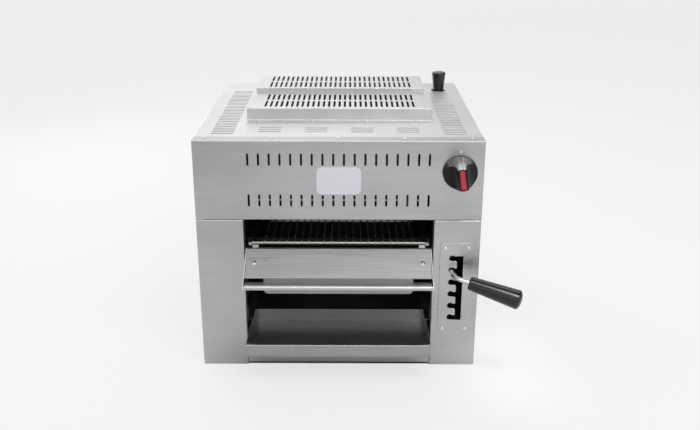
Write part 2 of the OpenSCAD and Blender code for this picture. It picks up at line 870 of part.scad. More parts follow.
module burner_screen()
    color(zinc) {
        half_x = plenum_x - 2;
        z0 = burner_z - screen_bar;
        difference() {
            block([-half_x, plenum_y0 + 2, z0], [half_x, plenum_y1 - 2, burner_z]);
            block([-half_x + screen_bar, plenum_y0 + 2 + screen_bar, z0 - 1],
                [half_x - screen_bar, plenum_y1 - 2 - screen_bar, burner_z + 1]);
        }
        for (i = [-11:11])
            rod_y(1.2, plenum_y0 + 4, plenum_y1 - 4, i * grid_pitch, burner_z - screen_bar / 2);
    }

module burner_hangers()
    color(steel) for (s = [0, 1], y = hanger_y) mirror([s, 0, 0])
        fold_y([[plenum_x, hanger_z[0]], [plenum_x, hanger_z[1]], [liner_x, hanger_z[1]],
            [liner_x, hanger_z[0]]], -sheet, y, y + hanger_w);

module mixing_tube()
    color(zinc) difference() {
        rod_x(mixer_r, plenum_x - sheet, mixer_end, mixer_y, mixer_z);
        rod_x(mixer_r - 2, plenum_x - sheet - 1, mixer_end + 1, mixer_y, mixer_z);
    }

module feed_pipe()
    color(zinc) bent_run([[knob_x, valve_y1, knob_z], [knob_x, mixer_y, knob_z],
        [knob_x, mixer_y, mixer_z], [mixer_end + 6, mixer_y, mixer_z]], feed_r, 15);

module orifice()
    color("gold") difference() {
        rod_x(4, mixer_end - 3, mixer_end + 6, mixer_y, mixer_z);
        rod_x(0.8, mixer_end - 4, mixer_end + 7, mixer_y, mixer_z);
    }

module gas_inlet_pipe()
    color(zinc) difference() {
        union() {
            rod_y(inlet_r, rear, rear + inlet_out, inlet_x, knob_z);
            rod_y(inlet_r - inlet_step, inlet_y0, rear, inlet_x, knob_z);
            rod_x(valve_arm_r, valve_arm_x, inlet_x, valve_arm_y, knob_z);
            translate([inlet_x, rear_in, knob_z]) rotate([90, 0, 0])
                cylinder(r = inlet_r + 1.5, h = 10);
        }
        rod_y(inlet_bore, inlet_y0 + 4, rear + inlet_out + 1, inlet_x, knob_z);
    }

module gas_valve()
    color("gold") difference() {
        union() {
            rod_y(valve_r, valve_y0, valve_y1, knob_x, knob_z);
            rod_x(valve_arm_r, knob_x, valve_arm_x, valve_arm_y, knob_z);
            rod_y(valve_neck_r, front + sheet, valve_y0, knob_x, knob_z);
        }
        rod_y(stem_r + run_fit, front, plug_y1, knob_x, knob_z);
        rod_y(plug_r + run_fit, plug_y0 - side_play, plug_y1 + side_play, knob_x, knob_z);
    }

module pilot_line()
    color(zinc) {
        bent_run([[knob_x, pilot_y, knob_z - valve_r], [knob_x, pilot_y, pilot_z],
            [pilot_x, pilot_y, pilot_z], [pilot_x, pilot_y, pilot_tip[1]]], pilot_r, 4 * pilot_r);
        rod_z(pilot_tip_r, pilot_tip[0], pilot_tip[1], pilot_x, pilot_y);
    }

// ---- Lift ----

module bearing_brackets()
    color(steel) for (s = [0, 1]) mirror([s, 0, 0]) difference() {
        block([liner_x + liner_t, pivot_y - bracket_half, low_z - bracket_half],
            [liner_x + liner_t + bracket_t, liner_rear, lift_z + bracket_half]);
        rod_x(upper_shaft_r + bush_wall, liner_x, liner_x + 9, pivot_y, lift_z);
        rod_x(lower_shaft_r + bush_wall, liner_x, liner_x + 9, pivot_y, low_z);
    }

// Flanged bush for a shaft of radius r
module bush(r, z) {
    difference() {
        union() {
            rod_x(r + bush_wall, liner_x, liner_x + liner_t + bracket_t + 1, pivot_y, z);
            rod_x(r + bush_wall + 3, liner_x - bush_flange_t, liner_x, pivot_y, z);
        }
        rod_x(r + run_fit, liner_x - 3, liner_x + 9, pivot_y, z);
    }
}

module pivot_bushes()
    color("gold") for (s = [0, 1]) mirror([s, 0, 0]) {
        bush(upper_shaft_r, lift_z);
        bush(lower_shaft_r, low_z);
    }

module upper_shaft()
    color(zinc) rod_x(upper_shaft_r, -shaft_end_x, lever_x + crank_t / 2, pivot_y, lift_z);

module lower_shaft()
    color(zinc) rod_x(lower_shaft_r, -shaft_end_x, shaft_end_x, pivot_y, low_z);

// Stands what is drawn level at the rear pivot in the tilt that it has at rest
module at_rest_tilt(z)
    translate([0, pivot_y, z]) rotate([-rest_tilt, 0, 0]) children();

// A pair of arms with hubs on a shaft of radius r and eyes of radius eye
module arm_pair(r, eye, z)
    at_rest_tilt(z) for (s = [0, 1]) mirror([s, 0, 0]) difference() {
        union() {
            rod_x(hub_r, arm_x - 3, liner_x - bush_flange_t - side_play, 0, 0);
            rod_x(arm_h / 2, arm_x, arm_x + arm_t, -arm_l, 0);
            plate_x([[-arm_l, -arm_h / 2], [0, -hub_r], [0, hub_r], [-arm_l, arm_h / 2]],
                arm_x, arm_t);
        }
        rod_x(r, arm_x - 9, liner_x, 0, 0);
        rod_x(eye, arm_x - 1, arm_x + arm_t + 1, -arm_l, 0);
    }

module upper_arms()
    color(dark) arm_pair(upper_shaft_r, pin_r + run_fit, lift_z);

module lower_arms()
    color(dark) arm_pair(lower_shaft_r, pin_r + side_play, low_z);

// Crank on the upper shaft: hub, socket for the lever rod and pin for the spring
module lever_crank()
    color(zinc) at_rest_tilt(lift_z) difference() {
        union() {
            rod_x(crank_hub_r, lever_x - crank_t / 2, lever_x + crank_t / 2, 0, 0);
            rod_y(socket_r, -socket_front, -9, lever_x, 0);
            rod_x(spring_pin_r, lever_x + rod_r + 1, tension_x + 5, -crank_l, 0);
        }
        rod_x(upper_shaft_r, lever_x - crank_t, lever_x + crank_t, 0, 0);
        rod_y(rod_r + run_fit, -socket_front - 1, -socket_end, lever_x, 0);
    }

// Carriage side: plate on the pins, with a channel on top for the rack
module carriage_side()
    difference() {
        union() {
            low = pin_low_z - lug_reach;
            plate_x([[carriage_y - lug_half, low], [carriage_y - lug_half + lug_cut, low - lug_cut],
                [carriage_y + lug_half - lug_cut, low - lug_cut], [carriage_y + lug_half, low],
                [carriage_y + lug_half, pin_high_z + lug_reach], [carriage_y + gusset, channel_low],
                [rack_rear, channel_low], [rack_rear, channel_high],
                [channel_front, channel_high], [channel_front, channel_low],
                [carriage_y - gusset, channel_low], [carriage_y - lug_half, pin_high_z + lug_reach]],
                carriage_x, plate_t);
            for (z = [rack_z - play_z - channel_t, rack_z + play_z])
                block([channel_in, channel_front, z], [carriage_x, rack_rear, z + channel_t]);
        }
        for (z = [pin_high_z, pin_low_z])
            rod_x(pin_r, carriage_x - 1, carriage_x + plate_t + 1, carriage_y, z);
    }

module left_carriage_side()
    color(dark) mirror([1, 0, 0]) carriage_side();

module right_carriage_side()
    color(dark) carriage_side();

// Angle bars that tie the two sides together under the channels
module carriage_bars()
    color(dark) for (y = [rack_front + 40, rack_rear - 40])
        fold_x([[y, rack_z - 22], [y, rack_z - play_z - channel_t],
            [y + 14, rack_z - play_z - channel_t]],
            -channel_t, -carriage_x, carriage_x);

module carriage_pins()
    color(zinc) for (s = [0, 1], z = [pin_high_z, pin_low_z]) mirror([s, 0, 0]) {
        rod_x(pin_r, carriage_x, arm_x + arm_t + side_play, carriage_y, z);
        rod_x(pin_r + 3, carriage_x - 2.5, carriage_x, carriage_y, z);
        rod_x(pin_r + 3, carriage_x + plate_t, arm_x - side_play, carriage_y, z);
        rod_x(pin_r + 3, arm_x + arm_t + side_play, arm_x + arm_t + 2.6, carriage_y, z);
    }

// ---- Rack ----

module rack_grid()
    color(zinc) {
        for (s = [-1, 1]) rod_y(frame_rod_r, rack_front, rack_rear, s * rack_rod_x, rack_z);
        for (y = [rack_front + 6, rack_front + rack_l / 2, rack_rear - 6])
            rod_x(cross_r, -rack_rod_x, rack_rod_x, y, rack_z);
        for (i = [-10:10])
            rod_y(grid_rod_r, rack_front + 1, rack_rear - 1, i * grid_pitch,
                rack_z + cross_r + grid_rod_r - 0.8);
    }

// Brackets under the front of the rack that carry the apron on their sloping ends
module rack_brackets()
    color(steel) for (s = [0, 1]) mirror([s, 0, 0]) difference() {
        low = rack_z - cross_r;
        lip = apron_top_z - thin - side_play;
        fold_x([[rack_front + 12, low], [rack_front + 2, low], [rack_front - 1, lip],
            under_apron(lip), under_apron(apron_screw_z - 6)], sheet, bracket_x0, bracket_x1, 1.6);
        at_apron_screws() translate([0, 0, -6]) cylinder(r = screw_r, h = 9);
    }

// Point on the apron's inner face at a height
function under_apron(z) =
    let (slope = unit([apron_low_y - apron_top_y, apron_low_z - apron_top_z]))
    let (inner = [apron_top_y, apron_top_z] + left_of(slope) * thin)
    inner + slope * (z - inner[1]) / slope[1];

module at_apron_screws() {
    slope = unit([apron_low_y - apron_top_y, apron_low_z - apron_top_z]);
    place = under_apron(apron_screw_z) - left_of(slope) * thin;
    for (s = [-1, 1]) translate([s * apron_screw_x, place[0], place[1]])
        rotate([atan2(-slope[1], -slope[0]), 0, 0]) children();
}

// Apron: top lip, sloping face, cut-outs at both ends and a tab behind the rail
module apron()
    color(steel_light) {
        difference() {
            fold_x([[apron_top_y + 6, apron_top_z], [apron_top_y, apron_top_z],
                [apron_low_y, apron_low_z], [apron_low_y, tab_z]],
                thin, -apron_x + cheek_t, apron_x - cheek_t, 1.6);
            for (s = [-1, 1]) {
                block([s > 0 ? tab_x : -apron_x - 1, apron_low_y - 3, tab_z - 1],
                    [s > 0 ? apron_x + 1 : -tab_x, apron_low_y + 3, apron_low_z - 2]);
                translate([s * tab_x, apron_low_y, tab_z]) rotate([0, 45, 0])
                    cube([tab_chamfer * sqrt(2), 8, tab_chamfer * sqrt(2)], center = true);
            }
            at_apron_screws() translate([0, 0, -6]) cylinder(r = screw_r, h = 9);
        }
        for (s = [0, 1]) mirror([s, 0, 0])
            plate_x([[handle_front, handle_top - handle_h], [handle_front, cheek_top],
                [apron_top_y - 1, apron_top_z + 1], [apron_top_y + 6, apron_top_z + 1],
                [apron_top_y + 6, apron_top_z - 18], [apron_low_y + 10, handle_top - handle_h]],
                apron_x - cheek_t, cheek_t);
    }

module handle_rail()
    color(steel_light)
        fold_x([[apron_low_y, handle_top], [handle_front, handle_top],
            [handle_front, handle_top - handle_h], [handle_front + 9, handle_top - handle_h]],
            thin, -apron_x + cheek_t, apron_x - cheek_t, 1.8);

module apron_screws()
    color(zinc) at_apron_screws() pan_screw(thin + sheet, apron_head_r);

module drip_tray()
    color(steel_light) {
        y1 = tray_front + tray_d;
        tray_top = tray_floor_z + tray_h;
        fold_x([[y1, tray_top], [y1, tray_floor_z], [tray_front + 2, tray_floor_z],
            [tray_front, tray_floor_z + tray_corner], [tray_front, tray_top],
            [tray_front + tray_hem, tray_top]], -thin, -tray_x + thin, tray_x - thin, 2);
        for (s = [0, 1]) mirror([s, 0, 0])
            plate_x([[tray_front + 2, tray_floor_z], [y1, tray_floor_z], [y1, tray_top],
                [tray_front, tray_top], [tray_front, tray_floor_z + tray_corner]],
                tray_x - thin, thin);
    }

// ---- Lever ----

module lever_rod()
    color(zinc) bent_run([[lever_x, pivot_y, lift_z] + lever_dir * (socket_end + 1),
        lever_corner, grip_start + grip_dir * grip_bore], rod_r, rod_bend);

module lever_grip()
    color(black) translate(grip_start)
        rotate([0, acos(grip_dir[2]), atan2(grip_dir[1], grip_dir[0])]) difference() {
            rotate_extrude() polygon(concat([[0, 0]],
                [for (a = [-90:30:0]) [grip_r_near - grip_edge * (1 - cos(a)), grip_edge * (1 + sin(a))]],
                [for (a = [0:15:90]) [grip_r_far * cos(a), grip_l + grip_dome * sin(a)]]));
            translate([0, 0, -1]) cylinder(r = rod_r, h = grip_bore + 1);
        }

// ---- Gas knob ----

module on_knob_axis()
    translate([knob_x, front, knob_z]) rotate([90, 0, 0]) children();

// Turning plug inside the valve, with a socket for the stem
module valve_plug()
    color("gold") difference() {
        rod_y(plug_r, plug_y0, plug_y1, knob_x, knob_z);
        rod_y(stem_r + run_fit, plug_y0 - 1, front + stem_end + push + 1, knob_x, knob_z);
    }

module valve_stem()
    color(zinc) rod_y(stem_r, front - stem_in_knob, front + stem_end, knob_x, knob_z);

// The strip on the grip bar is a little wider at its pointing end
module insert_outline() {
    narrow = insert_w / 2 - insert_l / 2 * tan(bar_splay);
    wide = insert_w / 2 + insert_l / 2 * tan(bar_splay);
    polygon([[-narrow, insert_l / 2], [-wide, -insert_l / 2], [wide, -insert_l / 2],
        [narrow, insert_l / 2]]);
}

// Cone on a skirt, with both flanks scooped out so that a grip bar is left
module gas_knob()
    color(black) on_knob_axis() rotate(knob_turn) difference() {
        gap = push + 0.5;
        rotate_extrude() polygon([[0, gap], [skirt_r - 0.6, gap], [skirt_r, gap + 0.6],
            [skirt_r, gap + 2.6], [skirt_r - 0.8, gap + 3.6], [knob_r + 0.6, knob_out - 1.4],
            [knob_r - 0.8, knob_out], [0, knob_out]]);
        for (s = [-1, 1]) rotate(s * bar_splay)
            translate([s * (bar_w / 2 + flank_r), 0, knob_out + 1]) rotate([90, 0, 0])
                cylinder(r = flank_r, h = 4 * skirt_r, center = true, $fn = 96);
        translate([0, 0, gap - 1]) cylinder(r = stem_r, h = stem_in_knob + 1 - gap);
        translate([0, 0, knob_out - insert_seat]) linear_extrude(4 * insert_t) insert_outline();
    }

module knob_insert()
    color("crimson") on_knob_axis() rotate(knob_turn)
        translate([0, 0, knob_out - insert_seat]) linear_extrude(insert_t) insert_outline();

// ---- Counterbalance ----

// Bracket under the top panel, with a tongue that keeps the nut from turning
module tension_bracket()
    color(steel) difference() {
        union() {
            y0 = tension_y - tension_span;
            y1 = tension_y + tension_span;
            tongue_y = tension_y + nut_half + side_play;
            fold_x([[y0 - tension_foot, top_z - sheet], [y0, top_z - sheet], [y0, collar_z],
                [y1, collar_z], [y1, top_z - sheet], [y1 + tension_foot, top_z - sheet]],
                -collar_t, tension_x - tension_half, tension_x + tension_half, 3);
            block([tension_x - tongue_half, tongue_y, nut_z - tension_foot * 2],
                [tension_x + tongue_half, tongue_y + collar_t, collar_z - collar_t / 2]);
        }
        translate([tension_x, tension_y, collar_z - 9]) cylinder(r = screw_rod_r + run_fit, h = 20);
    }

module tension_screw()
    color(zinc) translate([tension_x, tension_y, 0]) {
        translate([0, 0, nut_z - 40])
            cylinder(r = screw_rod_r, h = tension_knob_z + tension_bore - nut_z + 40);
        translate([0, 0, collar_z + side_play])
            cylinder(r = screw_rod_r + 3, h = tension_knob_z - collar_z - side_play);
    }

module tension_knob()
    color(black) translate([tension_x, tension_y, tension_knob_z]) difference() {
        rotate_extrude() polygon(concat([[0, 0], [tension_r_low - 1, 0], [tension_r_low, 1]],
            [for (a = [0:18:90]) [tension_r_top - 3 + 3 * cos(a), tension_h - 4 + 3 * sin(a)]],
            [[tension_r_top * 0.5, tension_h - 0.3], [0, tension_h]]));
        translate([0, 0, -1]) cylinder(r = screw_rod_r, h = tension_bore + 1);
    }

module tension_nut()
    color("gold") translate([tension_x, tension_y, nut_z]) difference() {
        union() {
            translate([-nut_half - 2, -nut_half, 0]) cube([2 * nut_half + 4, 2 * nut_half, nut_h]);
            translate([0, 0, -nut_neck]) cylinder(r = spring_core, h = nut_neck);
        }
        translate([0, 0, -nut_neck - 1]) cylinder(r = screw_rod_r + run_fit, h = nut_neck + nut_h + 2);
    }

// End plug of the spring, with a tongue that hangs on the crank's pin
module spring_plug()
    color(zinc) difference() {
        union() {
            translate([tension_x, tension_y, plug_z]) cylinder(r = spring_core, h = plug_h);
            block([tension_x - tongue_t / 2, tension_y - eye_r, crank_pin_z],
                [tension_x + tongue_t / 2, tension_y + eye_r, plug_z + 1]);
            rod_x(eye_r, tension_x - tongue_t / 2, tension_x + tongue_t / 2, tension_y,
                crank_pin_z);
        }
        rod_x(spring_pin_r + run_fit, tension_x - 3, tension_x + 3, tension_y, crank_pin_z);
    }

// Points of the coil spring's centre line, and the ring of its wire at each of them
function coil_point(k) =
    let (a = 360 * k / coil_steps)
    [spring_r * cos(a), spring_r * sin(a), coil_low + (coil_high - coil_low) * k / coil_last];
function coil_ring(k) =
    let (a = 360 * k / coil_steps)
    [for (j = [0:coil_sides - 1]) let (b = 360 * j / coil_sides)
        coil_point(k) + spring_wire / 2 * [cos(b) * cos(a), cos(b) * sin(a), sin(b)]];

module counter_spring()
    color(zinc) translate([tension_x, tension_y, 0]) polyhedron(
        points = [for (k = [0:coil_last]) each coil_ring(k)],
        faces = concat(
            [[for (j = [0:coil_sides - 1]) j]],
            [for (k = [0:coil_last - 1], j = [0:coil_sides - 1])
                let (n = (j + 1) % coil_sides, a = k * coil_sides, b = a + coil_sides)
                each [[a + j, b + j, b + n], [a + j, b + n, a + n]]],
            [[for (j = [coil_sides - 1:-1:0]) coil_last * coil_sides + j]]),
        convexity = 10);

base_pan();
leg_nuts();
base_rail();
left_pillar();
right_pillar();
left_side_panel();
right_side_panel();
rear_panel();
hood_front_panel();
top_panel();
front_flue_cover();
rear_flue_cover();
top_screws();
badge_plate();
indicator_dot();
left_liner();
right_liner();
rear_liner();
tray_runners();
guide_plate();
guide_plate_screws();
burner_plenum();
burner_tiles();
burner_screen();
burner_hangers();
mixing_tube();
feed_pipe();
orifice();
gas_inlet_pipe();
gas_valve();
pilot_line();
bearing_brackets();
pivot_bushes();
tension_bracket();
upper_shaft();
upper_arms();
lever_crank();
lower_shaft();
lower_arms();
left_carriage_side();
right_carriage_side();
carriage_bars();
carriage_pins();
rack_grid();
rack_brackets();
apron();
handle_rail();
apron_screws();
lever_rod();
lever_grip();
drip_tray();
valve_plug();
valve_stem();
gas_knob();
knob_insert();
tension_knob();
tension_screw();
tension_nut();
spring_plug();
counter_spring();
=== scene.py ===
"""Dressed scene of a countertop gas cheese melter.

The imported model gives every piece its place. This script gives the pieces their finishes, shapes
anew the small ones that the solids leave plain (screw heads, badge, dot, red strip, handle rail,
lever rod and spring), and sets the floor, the lamps and the camera. Lengths of the object are
written in millimetres and turned to metres by MM.
"""
import math

import bpy
import numpy as np
from mathutils import Euler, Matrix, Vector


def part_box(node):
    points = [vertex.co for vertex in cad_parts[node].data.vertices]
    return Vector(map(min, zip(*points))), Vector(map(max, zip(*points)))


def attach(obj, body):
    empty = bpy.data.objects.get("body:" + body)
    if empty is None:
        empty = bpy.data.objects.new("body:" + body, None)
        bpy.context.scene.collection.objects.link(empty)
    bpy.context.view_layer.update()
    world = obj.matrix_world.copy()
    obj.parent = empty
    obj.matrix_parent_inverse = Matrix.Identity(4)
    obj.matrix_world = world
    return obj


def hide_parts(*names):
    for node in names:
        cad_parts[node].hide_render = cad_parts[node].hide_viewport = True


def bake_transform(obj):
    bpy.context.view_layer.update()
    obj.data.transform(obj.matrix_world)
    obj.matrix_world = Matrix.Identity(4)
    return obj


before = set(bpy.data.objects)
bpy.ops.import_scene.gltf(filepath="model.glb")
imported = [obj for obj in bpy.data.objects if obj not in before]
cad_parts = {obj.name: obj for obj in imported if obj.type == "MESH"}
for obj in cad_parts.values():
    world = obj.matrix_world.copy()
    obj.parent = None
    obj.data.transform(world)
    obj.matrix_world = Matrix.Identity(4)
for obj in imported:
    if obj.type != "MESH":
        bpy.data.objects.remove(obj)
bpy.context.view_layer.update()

MM = 0.001
UP, FORWARD, RIGHT, REARWARD = (0, 0, 1), (0, -1, 0), (1, 0, 0), (0, 1, 0)


# ---------------------------------------------------------------- colours and nodes

FIRST, SECOND, MIXED = 6, 7, 2      # a Mix node's colour sockets: its two inputs and its output


def linear(hex_colour):
    """sRGB hex to linear RGBA: c/12.92 below 0.04045, else ((c + 0.055)/1.055)^2.4."""
    srgb = np.array([int(hex_colour[i:i + 2], 16) for i in (1, 3, 5)]) / 255
    rgb = np.where(srgb <= 0.04045, srgb / 12.92, ((srgb + 0.055) / 1.055) ** 2.4)
    return (*rgb.tolist(), 1.0)


def add(tree, kind, sockets=None, **settings):
    """Adds a node with its settings and returns its outputs.

    sockets gives inputs, by name or number, a plain value or another node's output to link.
    """
    node = tree.nodes.new("ShaderNode" + kind)
    for key, value in settings.items():
        setattr(node, key, value)
    for key, value in (sockets or {}).items():
        if isinstance(value, bpy.types.NodeSocket):
            tree.links.new(value, node.inputs[key])
        else:
            node.inputs[key].default_value = value
    return node.outputs


def bare(name):
    """A new material and its empty node tree."""
    material = bpy.data.materials.new(name)
    material.use_nodes = True
    material.node_tree.nodes.clear()
    return material, material.node_tree


def finished(material, **sockets):
    """Gives a material its one Principled surface; sockets are that surface's values and patterns,
    with _ for each space in a name."""
    tree = material.node_tree
    named = {key.replace("_", " "): value for key, value in sockets.items()}
    add(tree, "OutputMaterial", {"Surface": add(tree, "BsdfPrincipled", named)["BSDF"]})
    return material


def pattern_place(tree, *size):
    """Object coordinates counted in pattern sizes, in metres: one size, or one along each axis."""
    scale = (1 / np.broadcast_to(size, 3)).tolist()
    return add(tree, "Mapping", {"Vector": add(tree, "TexCoord")["Object"], "Scale": scale})[0]


# ---------------------------------------------------------------- finishes

# Brushed sheet: width and length of its brushing lines and of its slow waves, how deep they are,
# how much the lines change gloss and tone, and how far and which way they stretch reflections
LINE_W = 2.6 * MM           # real lines are 0.1 to 0.3 mm wide, too fine to show; drawn coarser
LINE_L = 120 * MM
WAVE_W, WAVE_L = 110 * MM, 275 * MM
LINE_DEPTH, WAVE_DEPTH = 0.05 * MM, 0.6 * MM
LINE_RELIEF, LINE_GLOSS, SHEET_CONTRAST = 0.25, 0.07, 0.6
EDGE_R = 1.2 * MM           # deburred edges and small bends catch a line of light
BRUSHING, ACROSS_LINES = 0.7, 0.25
CHEEK_T, CHEEK_HIGHLIGHT = 2 * MM, "#F2F2F2"      # the apron's cheeks and their painted highlight

# Plated and drawn metal, moulded plastic and sheet painted dark for its shade: the gloss pairs are
# lowest and highest roughness, the first two as shares of the material's own
PIT_DEPTH, PIT_RELIEF, METAL_GLOSS = 0.2 * MM, 0.15, (0.75, 1.25)
FLOW_SIZE, FLOW_DEPTH, FLOW_RELIEF, FLOW_GLOSS = 9 * MM, 0.1 * MM, 0.03, (0.8, 1.3)
DARK_CLOUD_SIZE, DARK_SHEET_METAL, DARK_SHEET_GLOSS = 70 * MM, 0.35, (0.45, 0.7)

# Burner tile: pitch of its holes, and their radius as a share of the pitch
HOLE_PITCH, HOLE_R = 3 * MM, 0.28

# Badge: depth behind its front past which its bevelled rim is painted in shade
BEVEL_SHADE_DEPTH = 0.6 * MM

# Gas knob: its axis and foot, the cone of its wall, the sector of painted highlight on that wall
# (its middle, where it ends and where it is full, from the top), its streaks for each radian, and
# the black's flow marks
KNOB_AXIS, KNOB_SEAT = (254.4 * MM, 463.5 * MM), -265 * MM
KNOB_FOOT_R, KNOB_TOP_R, KNOB_OUT, SKIN = 36.5 * MM, 24 * MM, 50 * MM, 0.7 * MM
HIGHLIGHT_MIDDLE, HIGHLIGHT_HALF, HIGHLIGHT_FULL = math.radians(-8), math.radians(52), math.radians(41.6)
STREAKS, STREAK_CONTRAST = 16.0, 0.4
KNOB_FLOW, KNOB_GLOSS = 1.8 * MM, (0.26, 0.4)


def brushed(name, light, dark, along=RIGHT, roughness=0.34, waves=0.5, cheeks=None):
    """Stainless sheet, belt-brushed along one axis.

    To the eye it is a soft grey mirror: reflections are drawn out across the lines, the lines
    themselves show as fine streaks, and slow waves of the rolled sheet bend what it mirrors. Tone
    is dark to light by the sum of a stretched noise, the lines, and a broad one, the waves; the
    lines also vary the gloss. Beyond cheeks from the middle along X, the sheet is painted
    near-white: a painted highlight for the light that its edges catch.
    """
    material, tree = bare(name)
    line_size = np.where(along, LINE_L, LINE_W)
    wave_size = np.where(along, WAVE_L, WAVE_W)
    lines = add(tree, "TexNoise", {"Vector": pattern_place(tree, *line_size), "Scale": 1.0,
                                   "Detail": 4.0, "Roughness": 0.6})[0]
    clouds = add(tree, "TexNoise", {"Vector": pattern_place(tree, *wave_size), "Scale": 1.0,
                                    "Detail": 3.0, "Roughness": 0.5})[0]
    both = add(tree, "Math", {0: lines, 1: clouds}, operation="ADD")[0]
    tone = add(tree, "MapRange", {"Value": both, "From Max": 2.0, "To Min": -SHEET_CONTRAST,
                                  "To Max": 1 + SHEET_CONTRAST})[0]
    colour = add(tree, "Mix", {0: tone, FIRST: linear(dark), SECOND: linear(light)},
                 data_type="RGBA")[MIXED]
    if cheeks:
        across = add(tree, "SeparateXYZ", {0: add(tree, "TexCoord")["Object"]})["X"]
        away = add(tree, "Math", {0: across}, operation="ABSOLUTE")[0]
        end = add(tree, "Math", {0: away, 1: cheeks}, operation="GREATER_THAN")[0]
        colour = add(tree, "Mix", {0: end, FIRST: colour, SECOND: linear(CHEEK_HIGHLIGHT)},
                     data_type="RGBA")[MIXED]
    gloss = add(tree, "MapRange", {"Value": lines, "To Min": roughness - LINE_GLOSS,
                                   "To Max": roughness + LINE_GLOSS})[0]
    edge = add(tree, "Bevel", {"Radius": EDGE_R}, samples=6)[0]
    relief = add(tree, "Bump", {"Strength": LINE_RELIEF, "Distance": LINE_DEPTH, "Height": lines,
                                "Normal": edge})[0]
    relief = add(tree, "Bump", {"Strength": waves, "Distance": WAVE_DEPTH, "Height": clouds,
                                "Normal": relief})[0]
    lay = add(tree, "CombineXYZ", dict(enumerate(map(float, along))))[0]
    return finished(material, Base_Color=colour, Metallic=1.0, Roughness=gloss, Normal=relief,
                    Anisotropic=BRUSHING, Anisotropic_Rotation=ACROSS_LINES, Tangent=lay)


def rolled(name, light, dark, roughness, size=60 * MM):
    """Drawn, turned or electroplated metal: an even shine with cloudy tone and gloss, by one noise.
    """
    material, tree = bare(name)
    clouds = add(tree, "TexNoise", {"Vector": pattern_place(tree, size), "Scale": 1.0,
                                    "Detail": 5.0, "Roughness": 0.6})[0]
    colour = add(tree, "Mix", {0: clouds, FIRST: linear(dark), SECOND: linear(light)},
                 data_type="RGBA")[MIXED]
    gloss = add(tree, "MapRange", {"Value": clouds, "To Min": roughness * METAL_GLOSS[0],
                                   "To Max": roughness * METAL_GLOSS[1]})[0]
    relief = add(tree, "Bump", {"Strength": PIT_RELIEF, "Distance": PIT_DEPTH,
                                "Height": clouds})[0]
    return finished(material, Base_Color=colour, Metallic=1.0, Roughness=gloss, Normal=relief)


def moulded(name, light, dark, roughness, coat=0.0, specular=0.5, gloss=0.1):
    """Moulded plastic: an even deep colour, faint flow marks and a slightly uneven gloss, under
    the smooth skin that the mould leaves, whose weight is coat and whose roughness is gloss."""
    material, tree = bare(name)
    flow = add(tree, "TexNoise", {"Vector": pattern_place(tree, FLOW_SIZE), "Scale": 1.0,
                                  "Detail": 4.0})[0]
    colour = add(tree, "Mix", {0: flow, FIRST: linear(dark), SECOND: linear(light)},
                 data_type="RGBA")[MIXED]
    body_gloss = add(tree, "MapRange", {"Value": flow, "To Min": roughness * FLOW_GLOSS[0],
                                        "To Max": roughness * FLOW_GLOSS[1]})[0]
    relief = add(tree, "Bump", {"Strength": FLOW_RELIEF, "Distance": FLOW_DEPTH,
                                "Height": flow})[0]
    return finished(material, Base_Color=colour, Roughness=body_gloss, Normal=relief,
                    Specular_IOR_Level=specular, Coat_Weight=coat, Coat_Roughness=gloss)


def shade_darkened_sheet(name, light, dark):
    """Sheet whose shade is painted: almost black and matt, with faint brown clouds."""
    material, tree = bare(name)
    clouds = add(tree, "TexNoise", {"Vector": pattern_place(tree, DARK_CLOUD_SIZE), "Scale": 1.0,
                                    "Detail": 6.0})[0]
    colour = add(tree, "Mix", {0: clouds, FIRST: linear(dark), SECOND: linear(light)},
                 data_type="RGBA")[MIXED]
    gloss = add(tree, "MapRange", {"Value": clouds, "To Min": DARK_SHEET_GLOSS[0],
                                   "To Max": DARK_SHEET_GLOSS[1]})[0]
    return finished(material, Base_Color=colour, Metallic=DARK_SHEET_METAL, Roughness=gloss)


def badge_enamel(name, field, edge):
    """Glossy enamel with a clear, wet look, with painted shade on the badge's bevelled rim: greyer
    where Y lies more than the depth given above behind the badge's front."""
    material, tree = bare(name)
    bevel_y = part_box("badge_plate")[0][1] + BEVEL_SHADE_DEPTH
    depth = add(tree, "SeparateXYZ", {0: add(tree, "TexCoord")["Object"]})["Y"]
    bevel_shade = add(tree, "Math", {0: depth, 1: bevel_y}, operation="GREATER_THAN")[0]
    colour = add(tree, "Mix", {0: bevel_shade, FIRST: linear(field), SECOND: linear(edge)},
                 data_type="RGBA")[MIXED]
    return finished(material, Base_Color=colour, Roughness=0.3, Coat_Weight=1.0,
                    Coat_Roughness=0.1)


